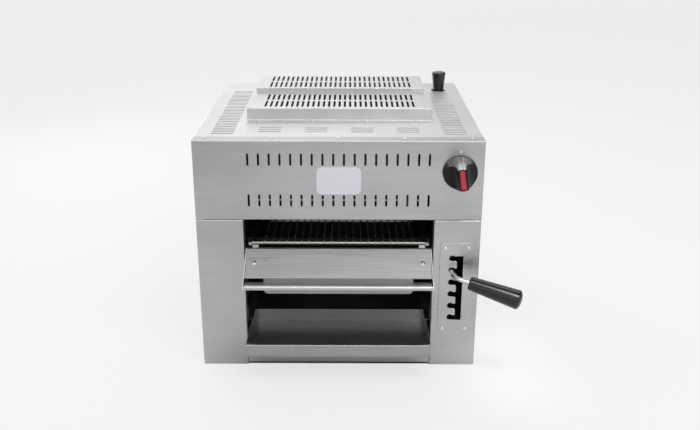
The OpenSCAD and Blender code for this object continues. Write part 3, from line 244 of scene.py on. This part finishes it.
def knob_moulding(name, light, dark, highlight_colour):
    """Black thermoset knob with a painted highlight on its upper wall, away from the pointer: a
    streaked metallic grey that stands in for the light falling there.

    To the eye it is a deep satin black with one bright, finely streaked crescent, the painted
    highlight. It lies where the distance from the knob's axis reaches the cone's own radius and the
    angle from the top is within the sector's half width of its middle, in full within a narrower
    angle, both given above. Its radial streaks are a noise of that angle alone.
    """
    material, tree = bare(name)
    place = add(tree, "SeparateXYZ", {0: add(tree, "TexCoord")["Object"]})
    across = add(tree, "Math", {0: place["X"], 1: KNOB_AXIS[0]}, operation="SUBTRACT")[0]
    rise = add(tree, "Math", {0: place["Z"], 1: KNOB_AXIS[1]}, operation="SUBTRACT")[0]
    out = add(tree, "Math", {0: KNOB_SEAT, 1: place["Y"]}, operation="SUBTRACT")[0]
    reach = add(tree, "VectorMath", {0: add(tree, "CombineXYZ", {0: across, 1: rise})[0]},
                operation="LENGTH")["Value"]
    cone = add(tree, "MapRange", {"Value": out, "From Max": KNOB_OUT, "To Min": KNOB_FOOT_R - SKIN,
                                  "To Max": KNOB_TOP_R - SKIN}, clamp=False)[0]
    wall = add(tree, "Math", {0: reach, 1: cone}, operation="GREATER_THAN")[0]
    angle = add(tree, "Math", {0: across, 1: rise}, operation="ARCTAN2")[0]
    turned = add(tree, "Math", {0: angle, 1: HIGHLIGHT_MIDDLE}, operation="SUBTRACT")[0]
    away = add(tree, "Math", {0: turned}, operation="ABSOLUTE")[0]
    sector = add(tree, "MapRange", {"Value": away, "From Min": HIGHLIGHT_HALF,
                                    "From Max": HIGHLIGHT_FULL})[0]
    highlight_mask = add(tree, "Math", {0: wall, 1: sector}, operation="MULTIPLY")[0]
    streaks = add(tree, "TexNoise", {"W": angle, "Scale": STREAKS, "Detail": 3.0},
                  noise_dimensions="1D")[0]
    shine = add(tree, "MapRange", {"Value": streaks, "To Min": -STREAK_CONTRAST,
                                   "To Max": 1 + STREAK_CONTRAST})[0]
    metal = add(tree, "Mix", {0: shine, FIRST: linear(dark), SECOND: linear(highlight_colour)},
                data_type="RGBA")[MIXED]
    flow = add(tree, "TexNoise", {"Vector": pattern_place(tree, KNOB_FLOW), "Scale": 1.0,
                                  "Detail": 4.0})[0]
    black = add(tree, "Mix", {0: flow, FIRST: linear(dark), SECOND: linear(light)},
                data_type="RGBA")[MIXED]
    colour = add(tree, "Mix", {0: highlight_mask, FIRST: black, SECOND: metal}, data_type="RGBA")[MIXED]
    gloss = add(tree, "MapRange", {"Value": flow, "To Min": KNOB_GLOSS[0],
                                   "To Max": KNOB_GLOSS[1]})[0]
    return finished(material, Base_Color=colour, Metallic=highlight_mask, Roughness=gloss,
                    Specular_IOR_Level=0.3)


def burner_ceramic(name, clay, hole_shade):
    """Perforated infra-red burner tile: chalky cream ceramic with rows of small holes, drawn as
    dots of painted shade where the distance from a square grid's points is under HOLE_R."""
    material, tree = bare(name)
    grid = add(tree, "TexVoronoi", {"Vector": pattern_place(tree, HOLE_PITCH), "Scale": 1.0,
                                    "Randomness": 0.0})["Distance"]
    hole = add(tree, "Math", {0: grid, 1: HOLE_R}, operation="LESS_THAN")[0]
    colour = add(tree, "Mix", {0: hole, FIRST: linear(clay), SECOND: linear(hole_shade)},
                 data_type="RGBA")[MIXED]
    return finished(material, Base_Color=colour, Roughness=0.85)


# Brushed casing, one stainless steel in tones painted per face: the front a little darker and flat,
# the top and its covers painted paler, painted light from above, and duller, the apron painted
# darker, painted shade, glossier and wavy, with a painted highlight on its cheeks, and the rail,
# tray and guide plate glossy and clear
FRONT_SHEET = brushed("brushed_stainless_front", "#C8C8C8", "#ABABAC", waves=0.2)
SIDE_SHEET = brushed("brushed_stainless_side", "#C8C8C8", "#B0B0B1", along=REARWARD)
TOP_SHEET = brushed("brushed_stainless_top", "#D8D8D9", "#C8C8C9", roughness=0.36, waves=0.2)
COVER_SHEET = brushed("brushed_stainless_cover", "#D2D2D3", "#C2C2C3", roughness=0.36, waves=0.2)
APRON_SHEET = brushed("brushed_stainless_apron", "#A8A8A7", "#868685", roughness=0.3, waves=1.6,
                      cheeks=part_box("apron")[1][0] - CHEEK_T)
RAIL_SHEET = brushed("polished_stainless_rail", "#BEBEBF", "#B0B0B1", roughness=0.3)
TRAY_SHEET = brushed("brushed_stainless_tray", "#B0B0B0", "#9A9A9A", roughness=0.3)
PLATE_SHEET = brushed("brushed_stainless_plate", "#C2C2C3", "#B4B4B5", roughness=0.3)

# Plain metal: dull grey zinc sheet, bright hardware, polished bar, warm nickel wire, yellow brass,
# grey pipe and dark oiled spring wire
PLAIN_SHEET = rolled("galvanised_sheet", "#A9ABAD", "#8D9093", 0.45)
BRIGHT_PIECE = rolled("zinc_plated_hardware", "#F0F1F2", "#DADCDE", 0.2, 8 * MM)
ROD = rolled("polished_steel_rod", "#DADADA", "#C8C8C9", 0.2, 15 * MM)
WIRE = rolled("nickel_plated_wire", "#B9B8B2", "#97958E", 0.3, 12 * MM)
BRASS = rolled("turned_brass", "#C9A35E", "#A88145", 0.3, 10 * MM)
PIPE = rolled("drawn_steel_pipe", "#9A9B9C", "#808183", 0.4, 20 * MM)
SPRING = rolled("oiled_spring_wire", "#8D8E90", "#6B6C6E", 0.3, 10 * MM)

# Inside of the casing: sheet painted almost black for its shade round the opening and on the
# carriage, a lighter burner box in painted shade, and its tile bed
SHADED_LINER = shade_darkened_sheet("shade_darkened_liner", "#1A1918", "#0C0C0D")
SHADED_PLENUM = shade_darkened_sheet("shade_darkened_plenum", "#2E2D2B", "#1C1B1A")
TILE = burner_ceramic("burner_ceramic", "#CFC3AE", "#2A2622")

# Moulded and enamelled pieces: near-black grips with a soft shine, a gas knob with a painted
# highlight, red strip, white dot and badge
BLACK = moulded("black_phenolic_moulding", "#0C0C0D", "#060607", 0.3, coat=0.9, specular=0.1,
                gloss=0.22)
# the third colour is the grey of the knob's painted highlight
KNOB_BLACK = knob_moulding("black_knob_moulding", "#0B0B0C", "#060607", "#B9B9BB")
RED = moulded("red_abs_insert", "#C23440", "#A82532", 0.3)
WHITE = moulded("white_enamelled_dot", "#EDEDF0", "#E4E4E8", 0.3, coat=0.5)
# the badge's greyer rim is painted shade
BADGE = badge_enamel("white_enamelled_badge", "#DCDDE4", "#BCBCC2")

FINISH = {
    FRONT_SHEET: ("hood_front_panel", "left_pillar", "right_pillar", "base_rail", "rear_panel"),
    SIDE_SHEET: ("left_side_panel", "right_side_panel"),
    TOP_SHEET: ("top_panel",),
    COVER_SHEET: ("front_flue_cover", "rear_flue_cover"),
    PLATE_SHEET: ("guide_plate",),
    APRON_SHEET: ("apron",),
    TRAY_SHEET: ("drip_tray",),
    PLAIN_SHEET: ("base_pan", "tray_runners", "burner_hangers", "tension_bracket",
                  "bearing_brackets", "rack_brackets"),
    BRIGHT_PIECE: ("leg_nuts", "carriage_pins"),
    ROD: ("upper_shaft", "lower_shaft", "valve_stem", "tension_screw"),
    WIRE: ("rack_grid", "burner_screen"),
    SHADED_LINER: ("left_liner", "right_liner", "rear_liner", "upper_arms", "lower_arms",
            "left_carriage_side", "right_carriage_side", "carriage_bars"),
    SHADED_PLENUM: ("burner_plenum",),
    BLACK: ("lever_grip", "tension_knob"),
    KNOB_BLACK: ("gas_knob",),
    BRASS: ("orifice", "gas_valve", "valve_plug", "pivot_bushes", "tension_nut"),
    PIPE: ("mixing_tube", "feed_pipe", "gas_inlet_pipe", "pilot_line", "lever_crank"),
    SPRING: ("spring_plug",),
    TILE: ("burner_tiles",),
}
for finish, nodes in FINISH.items():
    for node in nodes:
        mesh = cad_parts[node].data
        mesh.materials.clear()
        mesh.materials.append(finish)


# ---------------------------------------------------------------- shapes shared by the pieces

LEAST_CORNER, CORNER_STEPS = 0.2, 8     # smallest radius and number of points of a round corner


def box_mm(node):
    """Lowest and highest corner of a node at rest, in millimetres."""
    return [np.array(corner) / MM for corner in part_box(node)]


def mesh_piece(name, points, faces, material, node, body="root", smooth=True):
    """A closed mesh that stands for a CAD node: it rides on the node's body and hides the solid.

    With body None it rides on nothing.
    """
    mesh = bpy.data.meshes.new(name)
    mesh.from_pydata(points.tolist(), [], faces)
    mesh.polygons.foreach_set("use_smooth", np.full(len(mesh.polygons), smooth))
    mesh.materials.append(material)
    piece = bpy.data.objects.new(name, mesh)
    bpy.context.scene.collection.objects.link(piece)
    if body:
        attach(piece, body)
    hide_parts(node)
    return piece


def on_frame(points, origin, across, outward):
    """Takes points in millimetres from a piece's own axes (X across, Z outward) to a place in the
    frame: origin + x across + y up + z outward, where up is outward crossed with across."""
    axes = np.array([across, np.cross(outward, across), outward], float)
    return (np.array(origin) + points @ axes) * MM


def ring_faces(rings, around, copies=1):
    """Faces of a closed skin over rings of points: a quad for each step along and around, and a
    cap on the first and on the last ring. Copies of the skin follow one another in the points."""
    ring, step = np.meshgrid(np.arange(rings - 1), np.arange(around), indexing="ij")
    low, after = ring * around + step, ring * around + (step + 1) % around
    quads = np.stack([low, after, after + around, low + around], axis=-1).reshape(-1, 4)
    caps = np.stack([np.arange(around)[::-1], np.arange(around) + (rings - 1) * around])
    first = (np.arange(copies) * rings * around)[:, None, None]
    return (quads + first).reshape(-1, 4).tolist() + (caps + first).reshape(-1, around).tolist()


def circle(steps):
    """Points of a unit circle: cosine and sine of equal angles."""
    angle = np.linspace(0, 2 * np.pi, steps, endpoint=False)
    return np.stack([np.cos(angle), np.sin(angle)], axis=-1)


def arc(centre, radius, start, end, steps):
    """Points of a circular arc from one angle to another, in degrees."""
    angle = np.radians(np.linspace(start, end, steps))
    return np.array(centre) + radius * np.stack([np.cos(angle), np.sin(angle)], axis=-1)


def tube(centres, tangents, sides, radius, around):
    """Round bar along a path: about each centre, radius times the cosine of an angle along the
    side direction, plus radius times its sine along the tangent crossed with that."""
    cos, sin = circle(around).T[:, None, :, None]
    square = np.cross(tangents, sides)[:, None]
    rings = centres[:, None] + radius * (cos * sides[:, None] + sin * square)
    return rings.reshape(-1, 3) * MM, ring_faces(len(centres), around)


def round_corners(half, radius, inset):
    """Rectangle of half sizes with round corners, drawn in by inset: four quarter circles, each
    about a point that lies its radius inside both sides."""
    r = max(radius - inset, LEAST_CORNER)
    angle = np.linspace(0, np.pi / 2, CORNER_STEPS) + np.arange(4)[:, None] * np.pi / 2
    quarter = np.array([(1, 1), (-1, 1), (-1, -1), (1, -1)])[:, None]
    middle = quarter * (np.array(half) - inset - r)
    return (middle + r * np.stack([np.cos(angle), np.sin(angle)], axis=-1)).reshape(-1, 2)


def plaque(name, node, half, radius, profile, place, across, material, body="root",
           splay=0.0, barrel=0.0):
    """A plate on the front with a shaped rim: its outline, drawn in along a profile of (inset,
    height) pairs. With y the share of the way from its middle to its top, the width is times
    1 - splay y - barrel y^2, so splay widens the low end and barrel makes the sides bulge."""
    rings = []
    for inset, height in profile:
        flat = round_corners(half, radius, inset)
        rise = flat[:, 1] / half[1]
        flat[:, 0] *= 1 - splay * rise - barrel * rise ** 2
        rings.append(np.column_stack([flat, np.full(len(flat), height)]))
    points = on_frame(np.concatenate(rings), place, across, FORWARD)
    faces = ring_faces(len(rings), len(rings[0]))
    return mesh_piece(name, points, faces, material, node, body, smooth=False)


# ---------------------------------------------------------------- screw heads

# Radius and height of each kind of head, radius and length of the shank, and steps around
TOP_HEAD, GUIDE_HEAD, APRON_HEAD = (3.6, 2.16), (4.0, 2.4), (5.0, 3.0)
SHANK_R, SHANK_L, HEAD_AROUND = 1.7, 3.0, 48
# Shares of a head's height: foot and top of its rim, and the crown's fall towards the rim
RIM_FOOT, RIM_TOP, CROWN_FALL = 0.06, 0.42, 0.45
# Shares of a head's radius: its seat, the crown's rings, and the recess: half the width of its
# arms, their slanted walls, their reach, and the slope at their ends
SEAT_R, CROWN_RINGS = 0.97, np.linspace(0.96, 0.03, 16)
CROSS_ARM, CROSS_WALL, CROSS_REACH, CROSS_END = 0.16, 0.05, 0.56, 0.1
CROSS_DEPTH = 1.1
# Places: the cover's sheet and the step between its screws, the number of screws on the flange,
# and the apron's slope and the line of its screws as (Y, Z)
COVER_T, COVER_SCREW_STEP, FLANGE_SCREWS = 1.2, 121.3, 5
APRON_SLOPE, APRON_SCREW = (-55.9, -41.0), (-294.6, 268.2)


def pan_heads(radius, height, turns):
    """Pan-head screws with a cross recess, seated on Z = 0, one for each turn, in millimetres.

    Radius and height run along a profile: shank, flat underside, upright rim, then a crown whose
    height falls with the fourth power of the distance from the middle. The recess lowers the crown
    by CROSS_DEPTH where the smaller of |x| and |y| is under CROSS_ARM, as far as CROSS_REACH.
    """
    profile_r = np.concatenate([[SHANK_R, SHANK_R, SEAT_R * radius, radius, radius],
                                CROWN_RINGS * radius])[:, None]
    profile_z = np.concatenate([[-SHANK_L, 0, 0, RIM_FOOT * height, RIM_TOP * height],
                                height * (1 - CROWN_FALL * CROWN_RINGS ** 4)])[:, None]
    x, y = profile_r * circle(HEAD_AROUND).T[:, None]
    arm, reach = np.minimum(np.abs(x), np.abs(y)) / radius, np.hypot(x, y) / radius
    recess = (np.clip((CROSS_ARM - arm) / CROSS_WALL, 0, 1)
              * np.clip((CROSS_REACH - reach) / CROSS_END, 0, 1))
    z = profile_z - recess * CROSS_DEPTH * (profile_z > 0)
    cos, sin = np.cos(turns)[:, None, None], np.sin(turns)[:, None, None]
    turned = np.broadcast_arrays(x * cos - y * sin, x * sin + y * cos, z)
    faces = ring_faces(len(profile_r), HEAD_AROUND, len(turns))
    return np.stack(turned, axis=-1).reshape(len(turns), -1, 3), faces


def screw_set(name, node, places, head, outward, body="root"):
    """All the screws of one CAD node in one mesh, each turned to its own angle."""
    turns = np.random.default_rng(len(name)).uniform(0, np.pi / 2, len(places))
    heads, faces = pan_heads(*head, turns)
    points = on_frame(heads, np.array(places)[:, None], RIGHT, outward).reshape(-1, 3)
    mesh_piece(name, points, faces, BRIGHT_PIECE, node, body)


def fit_screws():
    """Screws along the hood's flange and the front cover's foot, in the guide plate's corners and
    in the apron."""
    low, high = box_mm("top_screws")
    r, flange_z = TOP_HEAD[0], box_mm("hood_front_panel")[1][2]
    cover_z = box_mm("front_flue_cover")[0][2] + COVER_T
    places = [(x, low[1] + r, flange_z)
              for x in np.linspace(low[0] + r, high[0] - r, FLANGE_SCREWS)]
    places += [(x * COVER_SCREW_STEP, high[1] - r, cover_z) for x in (-1.5, -0.5, 0.5, 1.5)]
    screw_set("top_screw_heads", "top_screws", places, TOP_HEAD, UP)

    low, high = box_mm("guide_plate_screws")
    r, face = GUIDE_HEAD[0], box_mm("guide_plate")[0][1]
    places = [(x, face, z) for x in (low[0] + r, high[0] - r) for z in (low[2] + r, high[2] - r)]
    screw_set("guide_screw_heads", "guide_plate_screws", places, GUIDE_HEAD, FORWARD)

    low, high = box_mm("apron_screws")
    r, slope = APRON_HEAD[0], np.array(APRON_SLOPE) / np.hypot(*APRON_SLOPE)
    places = [(x, *APRON_SCREW) for x in (low[0] + r, high[0] - r)]
    screw_set("apron_screw_heads", "apron_screws", places, APRON_HEAD, (0, -slope[1], slope[0]),
              "rack")


# ---------------------------------------------------------------- badge, dot and red strip

# Badge: corner radius, bulge of its sides, and its rim as (inset, share of the thickness)
BADGE_CORNER, BADGE_BARREL = 11.0, 0.09
BADGE_RIM = ((0, 0), (0, 0.05), (2.8, 0.85), (3.6, 1), (4.4, 0.95), (5.0, 0.9))
# Dot: steps around and inwards, smallest ring, and share of the height lost at the edge
DOT_AROUND, DOT_RINGS, DOT_TIP, DOT_FALL = 32, 8, 0.05, 0.75
# Red strip: size, corner, rim as (inset, height), and its bar's turn and splay in degrees
STRIP_W, STRIP_L, STRIP_CORNER = 10.8, 41.5, 0.8
STRIP_RIM = ((0, -2.0), (0, -0.5), (0.25, -0.15), (0.7, 0))
KNOB_TURN, BAR_SPLAY = 8.0, 1.6


def fit_badge():
    """Blank badge: a pressed plate with a raised, bevelled rim round a slightly sunken field."""
    low, high = box_mm("badge_plate")
    middle, half = (low + high) / 2, (high - low) / 2
    profile = [(inset, share * 2 * half[1]) for inset, share in BADGE_RIM]
    plaque("blank_badge", "badge_plate", half[[0, 2]], BADGE_CORNER, profile,
           (middle[0], high[1], middle[2]), RIGHT, BADGE, barrel=BADGE_BARREL)


def fit_dot():
    """Domed enamel dot over the gas knob: an upright edge, then a height that falls with the square
    of the distance from the middle."""
    low, high = box_mm("indicator_dot")
    middle, radius = (low + high) / 2, (high[0] - low[0]) / 2
    dome = np.linspace(1.0, DOT_TIP, DOT_RINGS)
    share = np.concatenate([[1.0], dome])[:, None, None]
    height = np.concatenate([[0.0], 1 - DOT_FALL * dome ** 2])[:, None] * (high[1] - low[1])
    flat = share * radius * circle(DOT_AROUND)
    rings = np.dstack([flat, np.broadcast_to(height, flat.shape[:2])]).reshape(-1, 3)
    points = on_frame(rings, (middle[0], high[1], middle[2]), RIGHT, FORWARD)
    mesh_piece("indicator_dot_dome", points, ring_faces(len(share), DOT_AROUND), WHITE,
               "indicator_dot")


def fit_strip():
    """Red strip on the gas knob's grip bar, with a bevelled edge; a little wider at its low end."""
    low, high = box_mm("gas_knob")
    place = (low[0] + high[0]) / 2, box_mm("knob_insert")[0][1], (low[2] + high[2]) / 2
    turn = math.radians(KNOB_TURN)
    plaque("red_knob_strip", "knob_insert", (STRIP_W / 2, STRIP_L / 2), STRIP_CORNER, STRIP_RIM,
           place, (math.cos(turn), 0, math.sin(turn)), RED, "knob",
           splay=math.tan(math.radians(BAR_SPLAY)) * STRIP_L / STRIP_W)


# ---------------------------------------------------------------- rail, rod and spring

# Handle rail: its wide front bend, the narrow bend under it, its foot's depth and its sheet
RAIL_BEND, RAIL_HEM, RAIL_FOOT, RAIL_T = 7.4, 1.8, 9.0, 1.2
BEND_RINGS, HEM_RINGS, RAIL_SHARP = 9, 5, math.radians(30)
# Lever rod: directions of its long part and of the grip, the corner where their lines meet, and
# lengths from that corner back to its end and on into the grip
LEVER_DIR, GRIP_DIR = (0.0, -490.0, 43.3), (128, -46, -27)
LEVER_CORNER, LEVER_LONG, GRIP_DEEP = (245.5, -305.4, 239.87), 516.4, 74.7
ROD_R, ROD_BEND = 5.0, 25.0
ROD_RINGS, CORNER_RINGS, ROD_AROUND, ROD_SHARP = 50, 12, 24, math.radians(60)
# Spring: wire, turns, and how far it runs on below its rest length
SPRING_WIRE, SPRING_TURNS, SPRING_TAIL = 1.8, 23, 9.0
RINGS_A_TURN, WIRE_AROUND = 28, 8


def fit_rail():
    """Handle rail: a folded strip, its section carried straight along X.

    The section is the outer line (flat top, arc of RAIL_BEND, upright front, arc of RAIL_HEM, foot)
    and the same line drawn in by the sheet's thickness.
    """
    low, high = box_mm("handle_rail")
    front, top, foot = low[1], high[2], low[2]
    bend, hem = (front + RAIL_BEND, top - RAIL_BEND), (front + RAIL_HEM, foot + RAIL_HEM)
    outer, inner = (np.concatenate([
        [[high[1], top - inset]],
        arc(bend, RAIL_BEND - inset, 90, 180, BEND_RINGS),
        arc(hem, RAIL_HEM - inset, 180, 270, HEM_RINGS),
        [[front + RAIL_FOOT, foot + inset]]]) for inset in (0, RAIL_T))
    section = np.concatenate([outer, inner[::-1]])
    ends = [np.column_stack([section, np.full(len(section), x)]) for x in (low[0], high[0])]
    points = on_frame(np.concatenate(ends), (0, 0, 0), REARWARD, RIGHT)
    rail = mesh_piece("folded_handle_rail", points, ring_faces(len(ends), len(section)),
                      RAIL_SHEET, "handle_rail", "rack")
    rail.data.set_sharp_from_angle(angle=RAIL_SHARP)


def fit_lever_rod():
    """Lever rod, fixed in the crank's socket.

    The path is a straight line, an arc of ROD_BEND and a short line into the grip. The arc starts
    ROD_BEND times the tangent of half the turn before the corner.
    """
    along, aside = (np.array(way) / np.linalg.norm(way) for way in (LEVER_DIR, GRIP_DIR))
    turn = math.acos(along @ aside)
    normal = np.cross(along, aside) / math.sin(turn)
    inward = np.cross(normal, along)
    trim = ROD_BEND * math.tan(turn / 2)
    corner = np.array(LEVER_CORNER)
    back = np.linspace(LEVER_LONG, trim, ROD_RINGS)[:, None]
    bend = np.linspace(0, turn, CORNER_RINGS)[1:, None]
    curve = ROD_BEND * (np.sin(bend) * along + (1 - np.cos(bend)) * inward)
    centres = np.concatenate([corner - back * along, corner - trim * along + curve,
                              [corner + GRIP_DEEP * aside]])
    tangents = np.concatenate([np.tile(along, (ROD_RINGS, 1)),
                               np.cos(bend) * along + np.sin(bend) * inward, [aside]])
    points, faces = tube(centres, tangents, np.tile(normal, (len(centres), 1)), ROD_R, ROD_AROUND)
    rod = mesh_piece("flexing_lever_rod", points, faces, ROD, "lever_rod", None)
    rod.data.set_sharp_from_angle(angle=ROD_SHARP)
    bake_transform(rod)


def fit_spring():
    """Counterweight spring: a helix of round wire about the tension screw's axis, whose height
    grows evenly with the angle.

    It runs on below its rest length by SPRING_TAIL, so that the end plug stays inside it while the
    crank draws the plug down.
    """
    low, high = box_mm("counter_spring")
    coil_r = (high[0] - low[0]) / 2 - SPRING_WIRE / 2
    angle = np.linspace(0, 2 * np.pi * SPRING_TURNS, SPRING_TURNS * RINGS_A_TURN)
    cos, sin, flat = np.cos(angle), np.sin(angle), np.zeros(len(angle))
    rise = np.linspace(low[2] - SPRING_TAIL, high[2], len(angle))
    axis = np.array([(low[0] + high[0]) / 2, (low[1] + high[1]) / 2, 0])
    out = np.stack([cos, sin, flat], axis=-1)
    centres = axis + out * coil_r + rise[:, None] * UP
    climb = (rise[-1] - rise[0]) / angle[-1]
    tangents = np.stack([-coil_r * sin, coil_r * cos, flat + climb], axis=-1)
    tangents /= math.hypot(coil_r, climb)
    points, faces = tube(centres, tangents, out, SPRING_WIRE / 2, WIRE_AROUND)
    mesh_piece("counterweight_coil", points, faces, SPRING, "counter_spring",
               "nut")


fit_rail()
fit_lever_rod()
fit_spring()
fit_screws()
fit_badge()
fit_dot()
fit_strip()


# ---------------------------------------------------------------- floor, lamps and camera

SMOOTH = {"interpolation_type": "SMOOTHSTEP"}

# Floor: half width and both ends in metres, the paper's tones and grain, and how the camera alone
# sees it: a darker paper with a glow of its own
FLOOR_HALF, FLOOR_NEAR, FLOOR_FAR = 14.0, -12.0, 16.0
PAPER_DARK, PAPER_LIGHT, PAPER_GRAIN = "#F0F0F1", "#F4F4F5", 250 * MM
PAPER_SEEN, PAPER_GLOW = "#7C7C7C", 0.70
# Painted shade, seen only by reflections and bounced light: the paper is greyer ahead and to the
# left: from none to full over these stretches of Y and X
PAPER_SHADE = "#ACACAD"
SHADE_AHEAD = {"From Min": -1.0, "From Max": -1.9}
SHADE_LEFT = {"From Min": 0.3, "From Max": -0.7}

# Surround: strength for diffuse light, and for reflections by the parts of their direction: a grey
# that turns white to the rear, dimmed on the right, with light added ahead
SURROUND, DIFFUSE_LIGHT = "#FAFAFB", 0.56
REAR_WALL = {"From Min": -0.2, "From Max": 0.9, "To Min": 0.35, "To Max": 1.2}
RIGHT_DIM = {"From Min": 0.01, "From Max": 0.13, "To Min": 1.0, "To Max": 0.54}
FRONT_LIGHT = {"From Min": -0.24, "From Max": -0.5, "To Min": 0.0, "To Max": 0.68}

# Name, place, aim and size in metres, power in watts and spread in degrees
LAMPS = (
    ("front_right_soft_box", (1.1, -1.7, 2.1), (0.2, -0.6, 0.1), (1.6, 1.2), 12.0, 180.0),
    ("overhead_strip_lamp", (0.2, -1.5, 2.85), (0.1, -0.4, 0.3), (2.4, 0.6), 22.0, 180.0),
    ("rear_strip_lamp", (0.35, 1.35, 2.55), (0.1, 0.0, 0.4), (2.4, 0.7), 14.0, 180.0),
    ("rear_left_strip_lamp", (-1.25, 1.35, 1.35), (0.2, -0.2, 0.45), (0.35, 1.4), 9.0, 180.0),
    ("grip_lamp", (0.42, -0.66, 0.98), (0.39, -0.36, 0.24), (0.2, 0.3), 0.06, 12.0),
)

# Camera: focal length and picture width in pixels, sensor width in millimetres, shift in picture
# widths, and its place in metres and turn in radians
FOCAL_PX, IMAGE_W, SENSOR_W, SHIFT_DOWN, FAR_CLIP = 784.4, 700, 36.0, -0.10, 60.0
CAMERA_PLACE = (23 * MM, -1812 * MM, 1016.6 * MM)
CAMERA_TURN = (1.26171, -0.0030, 0.0005)


def floor_sheet():
    """A pale studio floor of matt paper: one flat sheet, wide enough for every view. The camera
    sees it with a glow of its own, so that it is white without more light on the object. Other rays
    see it greyer ahead and to the left, a painted shade."""
    mesh = bpy.data.meshes.new("studio_floor")
    mesh.from_pydata([(-FLOOR_HALF, FLOOR_NEAR, 0), (FLOOR_HALF, FLOOR_NEAR, 0),
                      (FLOOR_HALF, FLOOR_FAR, 0), (-FLOOR_HALF, FLOOR_FAR, 0)], [], [(0, 1, 2, 3)])
    floor = bpy.data.objects.new("studio_floor", mesh)
    bpy.context.scene.collection.objects.link(floor)
    material, tree = bare("studio_paper")
    grain = add(tree, "TexNoise", {"Vector": pattern_place(tree, PAPER_GRAIN), "Scale": 1.0})[0]
    paper = add(tree, "Mix", {0: grain, FIRST: linear(PAPER_DARK), SECOND: linear(PAPER_LIGHT)},
                data_type="RGBA")[MIXED]
    place = add(tree, "SeparateXYZ", {0: add(tree, "TexCoord")["Object"]})
    ahead = add(tree, "MapRange", {"Value": place["Y"], **SHADE_AHEAD}, **SMOOTH)[0]
    left = add(tree, "MapRange", {"Value": place["X"], **SHADE_LEFT}, **SMOOTH)[0]
    shade = add(tree, "Math", {0: ahead, 1: left}, operation="MULTIPLY")[0]
    paper = add(tree, "Mix", {0: shade, FIRST: paper, SECOND: linear(PAPER_SHADE)},
                data_type="RGBA")[MIXED]
    seen = add(tree, "LightPath")["Is Camera Ray"]
    colour = add(tree, "Mix", {0: seen, FIRST: paper, SECOND: linear(PAPER_SEEN)},
                 data_type="RGBA")[MIXED]
    glow = add(tree, "Math", {0: seen, 1: PAPER_GLOW}, operation="MULTIPLY")[0]
    mesh.materials.append(finished(material, Base_Color=colour, Roughness=0.9,
                                   Emission_Color=(1.0, 1.0, 1.0, 1.0), Emission_Strength=glow))


def studio_world():
    """White surround. The camera sees it plain and diffuse light gets DIFFUSE_LIGHT of it. In
    reflections its strength is REAR_WALL times RIGHT_DIM plus FRONT_LIGHT: smooth steps over the
    direction's rearward and rightward parts."""
    world = bpy.data.worlds.new("studio_surround")
    world.use_nodes = True
    tree = world.node_tree
    tree.nodes.clear()
    way = add(tree, "SeparateXYZ", {0: add(tree, "TexCoord")["Generated"]})
    wall = add(tree, "MapRange", {"Value": way["Y"], **REAR_WALL}, **SMOOTH)[0]
    side = add(tree, "MapRange", {"Value": way["X"], **RIGHT_DIM}, **SMOOTH)[0]
    ahead = add(tree, "MapRange", {"Value": way["Y"], **FRONT_LIGHT}, **SMOOTH)[0]
    wall = add(tree, "Math", {0: wall, 1: side, 2: ahead}, operation="MULTIPLY_ADD")[0]
    path = add(tree, "LightPath")
    mirrored = add(tree, "Math", {0: path["Is Glossy Ray"], 1: path["Is Transmission Ray"]},
                   operation="MAXIMUM")[0]
    lit = add(tree, "Mix", {"Factor": mirrored, "A": DIFFUSE_LIGHT, "B": wall})[0]
    strength = add(tree, "Mix", {"Factor": path["Is Camera Ray"], "A": lit, "B": 1.0})[0]
    light = add(tree, "Background", {"Color": linear(SURROUND), "Strength": strength})[0]
    add(tree, "OutputWorld", {"Surface": light})
    bpy.context.scene.world = world


def soft_lamp(name, place, target, size, power, spread):
    """A rectangular soft box at place that faces target, turned by the rise and the heading of the
    line between them."""
    lamp = bpy.data.lights.new(name, "AREA")
    lamp.shape = "RECTANGLE"
    lamp.size, lamp.size_y = size
    lamp.energy = power
    lamp.spread = math.radians(spread)
    holder = bpy.data.objects.new(name, lamp)
    aim = np.array(target) - np.array(place)
    rise, heading = math.atan2(aim[2], math.hypot(aim[0], aim[1])), math.atan2(aim[1], aim[0])
    holder.location = place
    holder.rotation_euler = Euler((math.pi / 2 + rise, 0, heading - math.pi / 2))
    holder.visible_camera = False
    bpy.context.scene.collection.objects.link(holder)


def camera():
    """Camera with a normal lens in front of and above the object, shifted a little downward."""
    lens = bpy.data.cameras.new("camera")
    lens.sensor_width = SENSOR_W
    lens.lens = FOCAL_PX / IMAGE_W * SENSOR_W
    lens.shift_y = SHIFT_DOWN
    lens.clip_end = FAR_CLIP
    holder = bpy.data.objects.new("camera", lens)
    holder.location = CAMERA_PLACE
    holder.rotation_euler = Euler(CAMERA_TURN, "XYZ")
    bpy.context.scene.collection.objects.link(holder)
    bpy.context.scene.camera = holder


floor_sheet()
studio_world()
for lamp in LAMPS:
    soft_lamp(*lamp)
camera()
bpy.context.scene.view_settings.view_transform = "Standard"
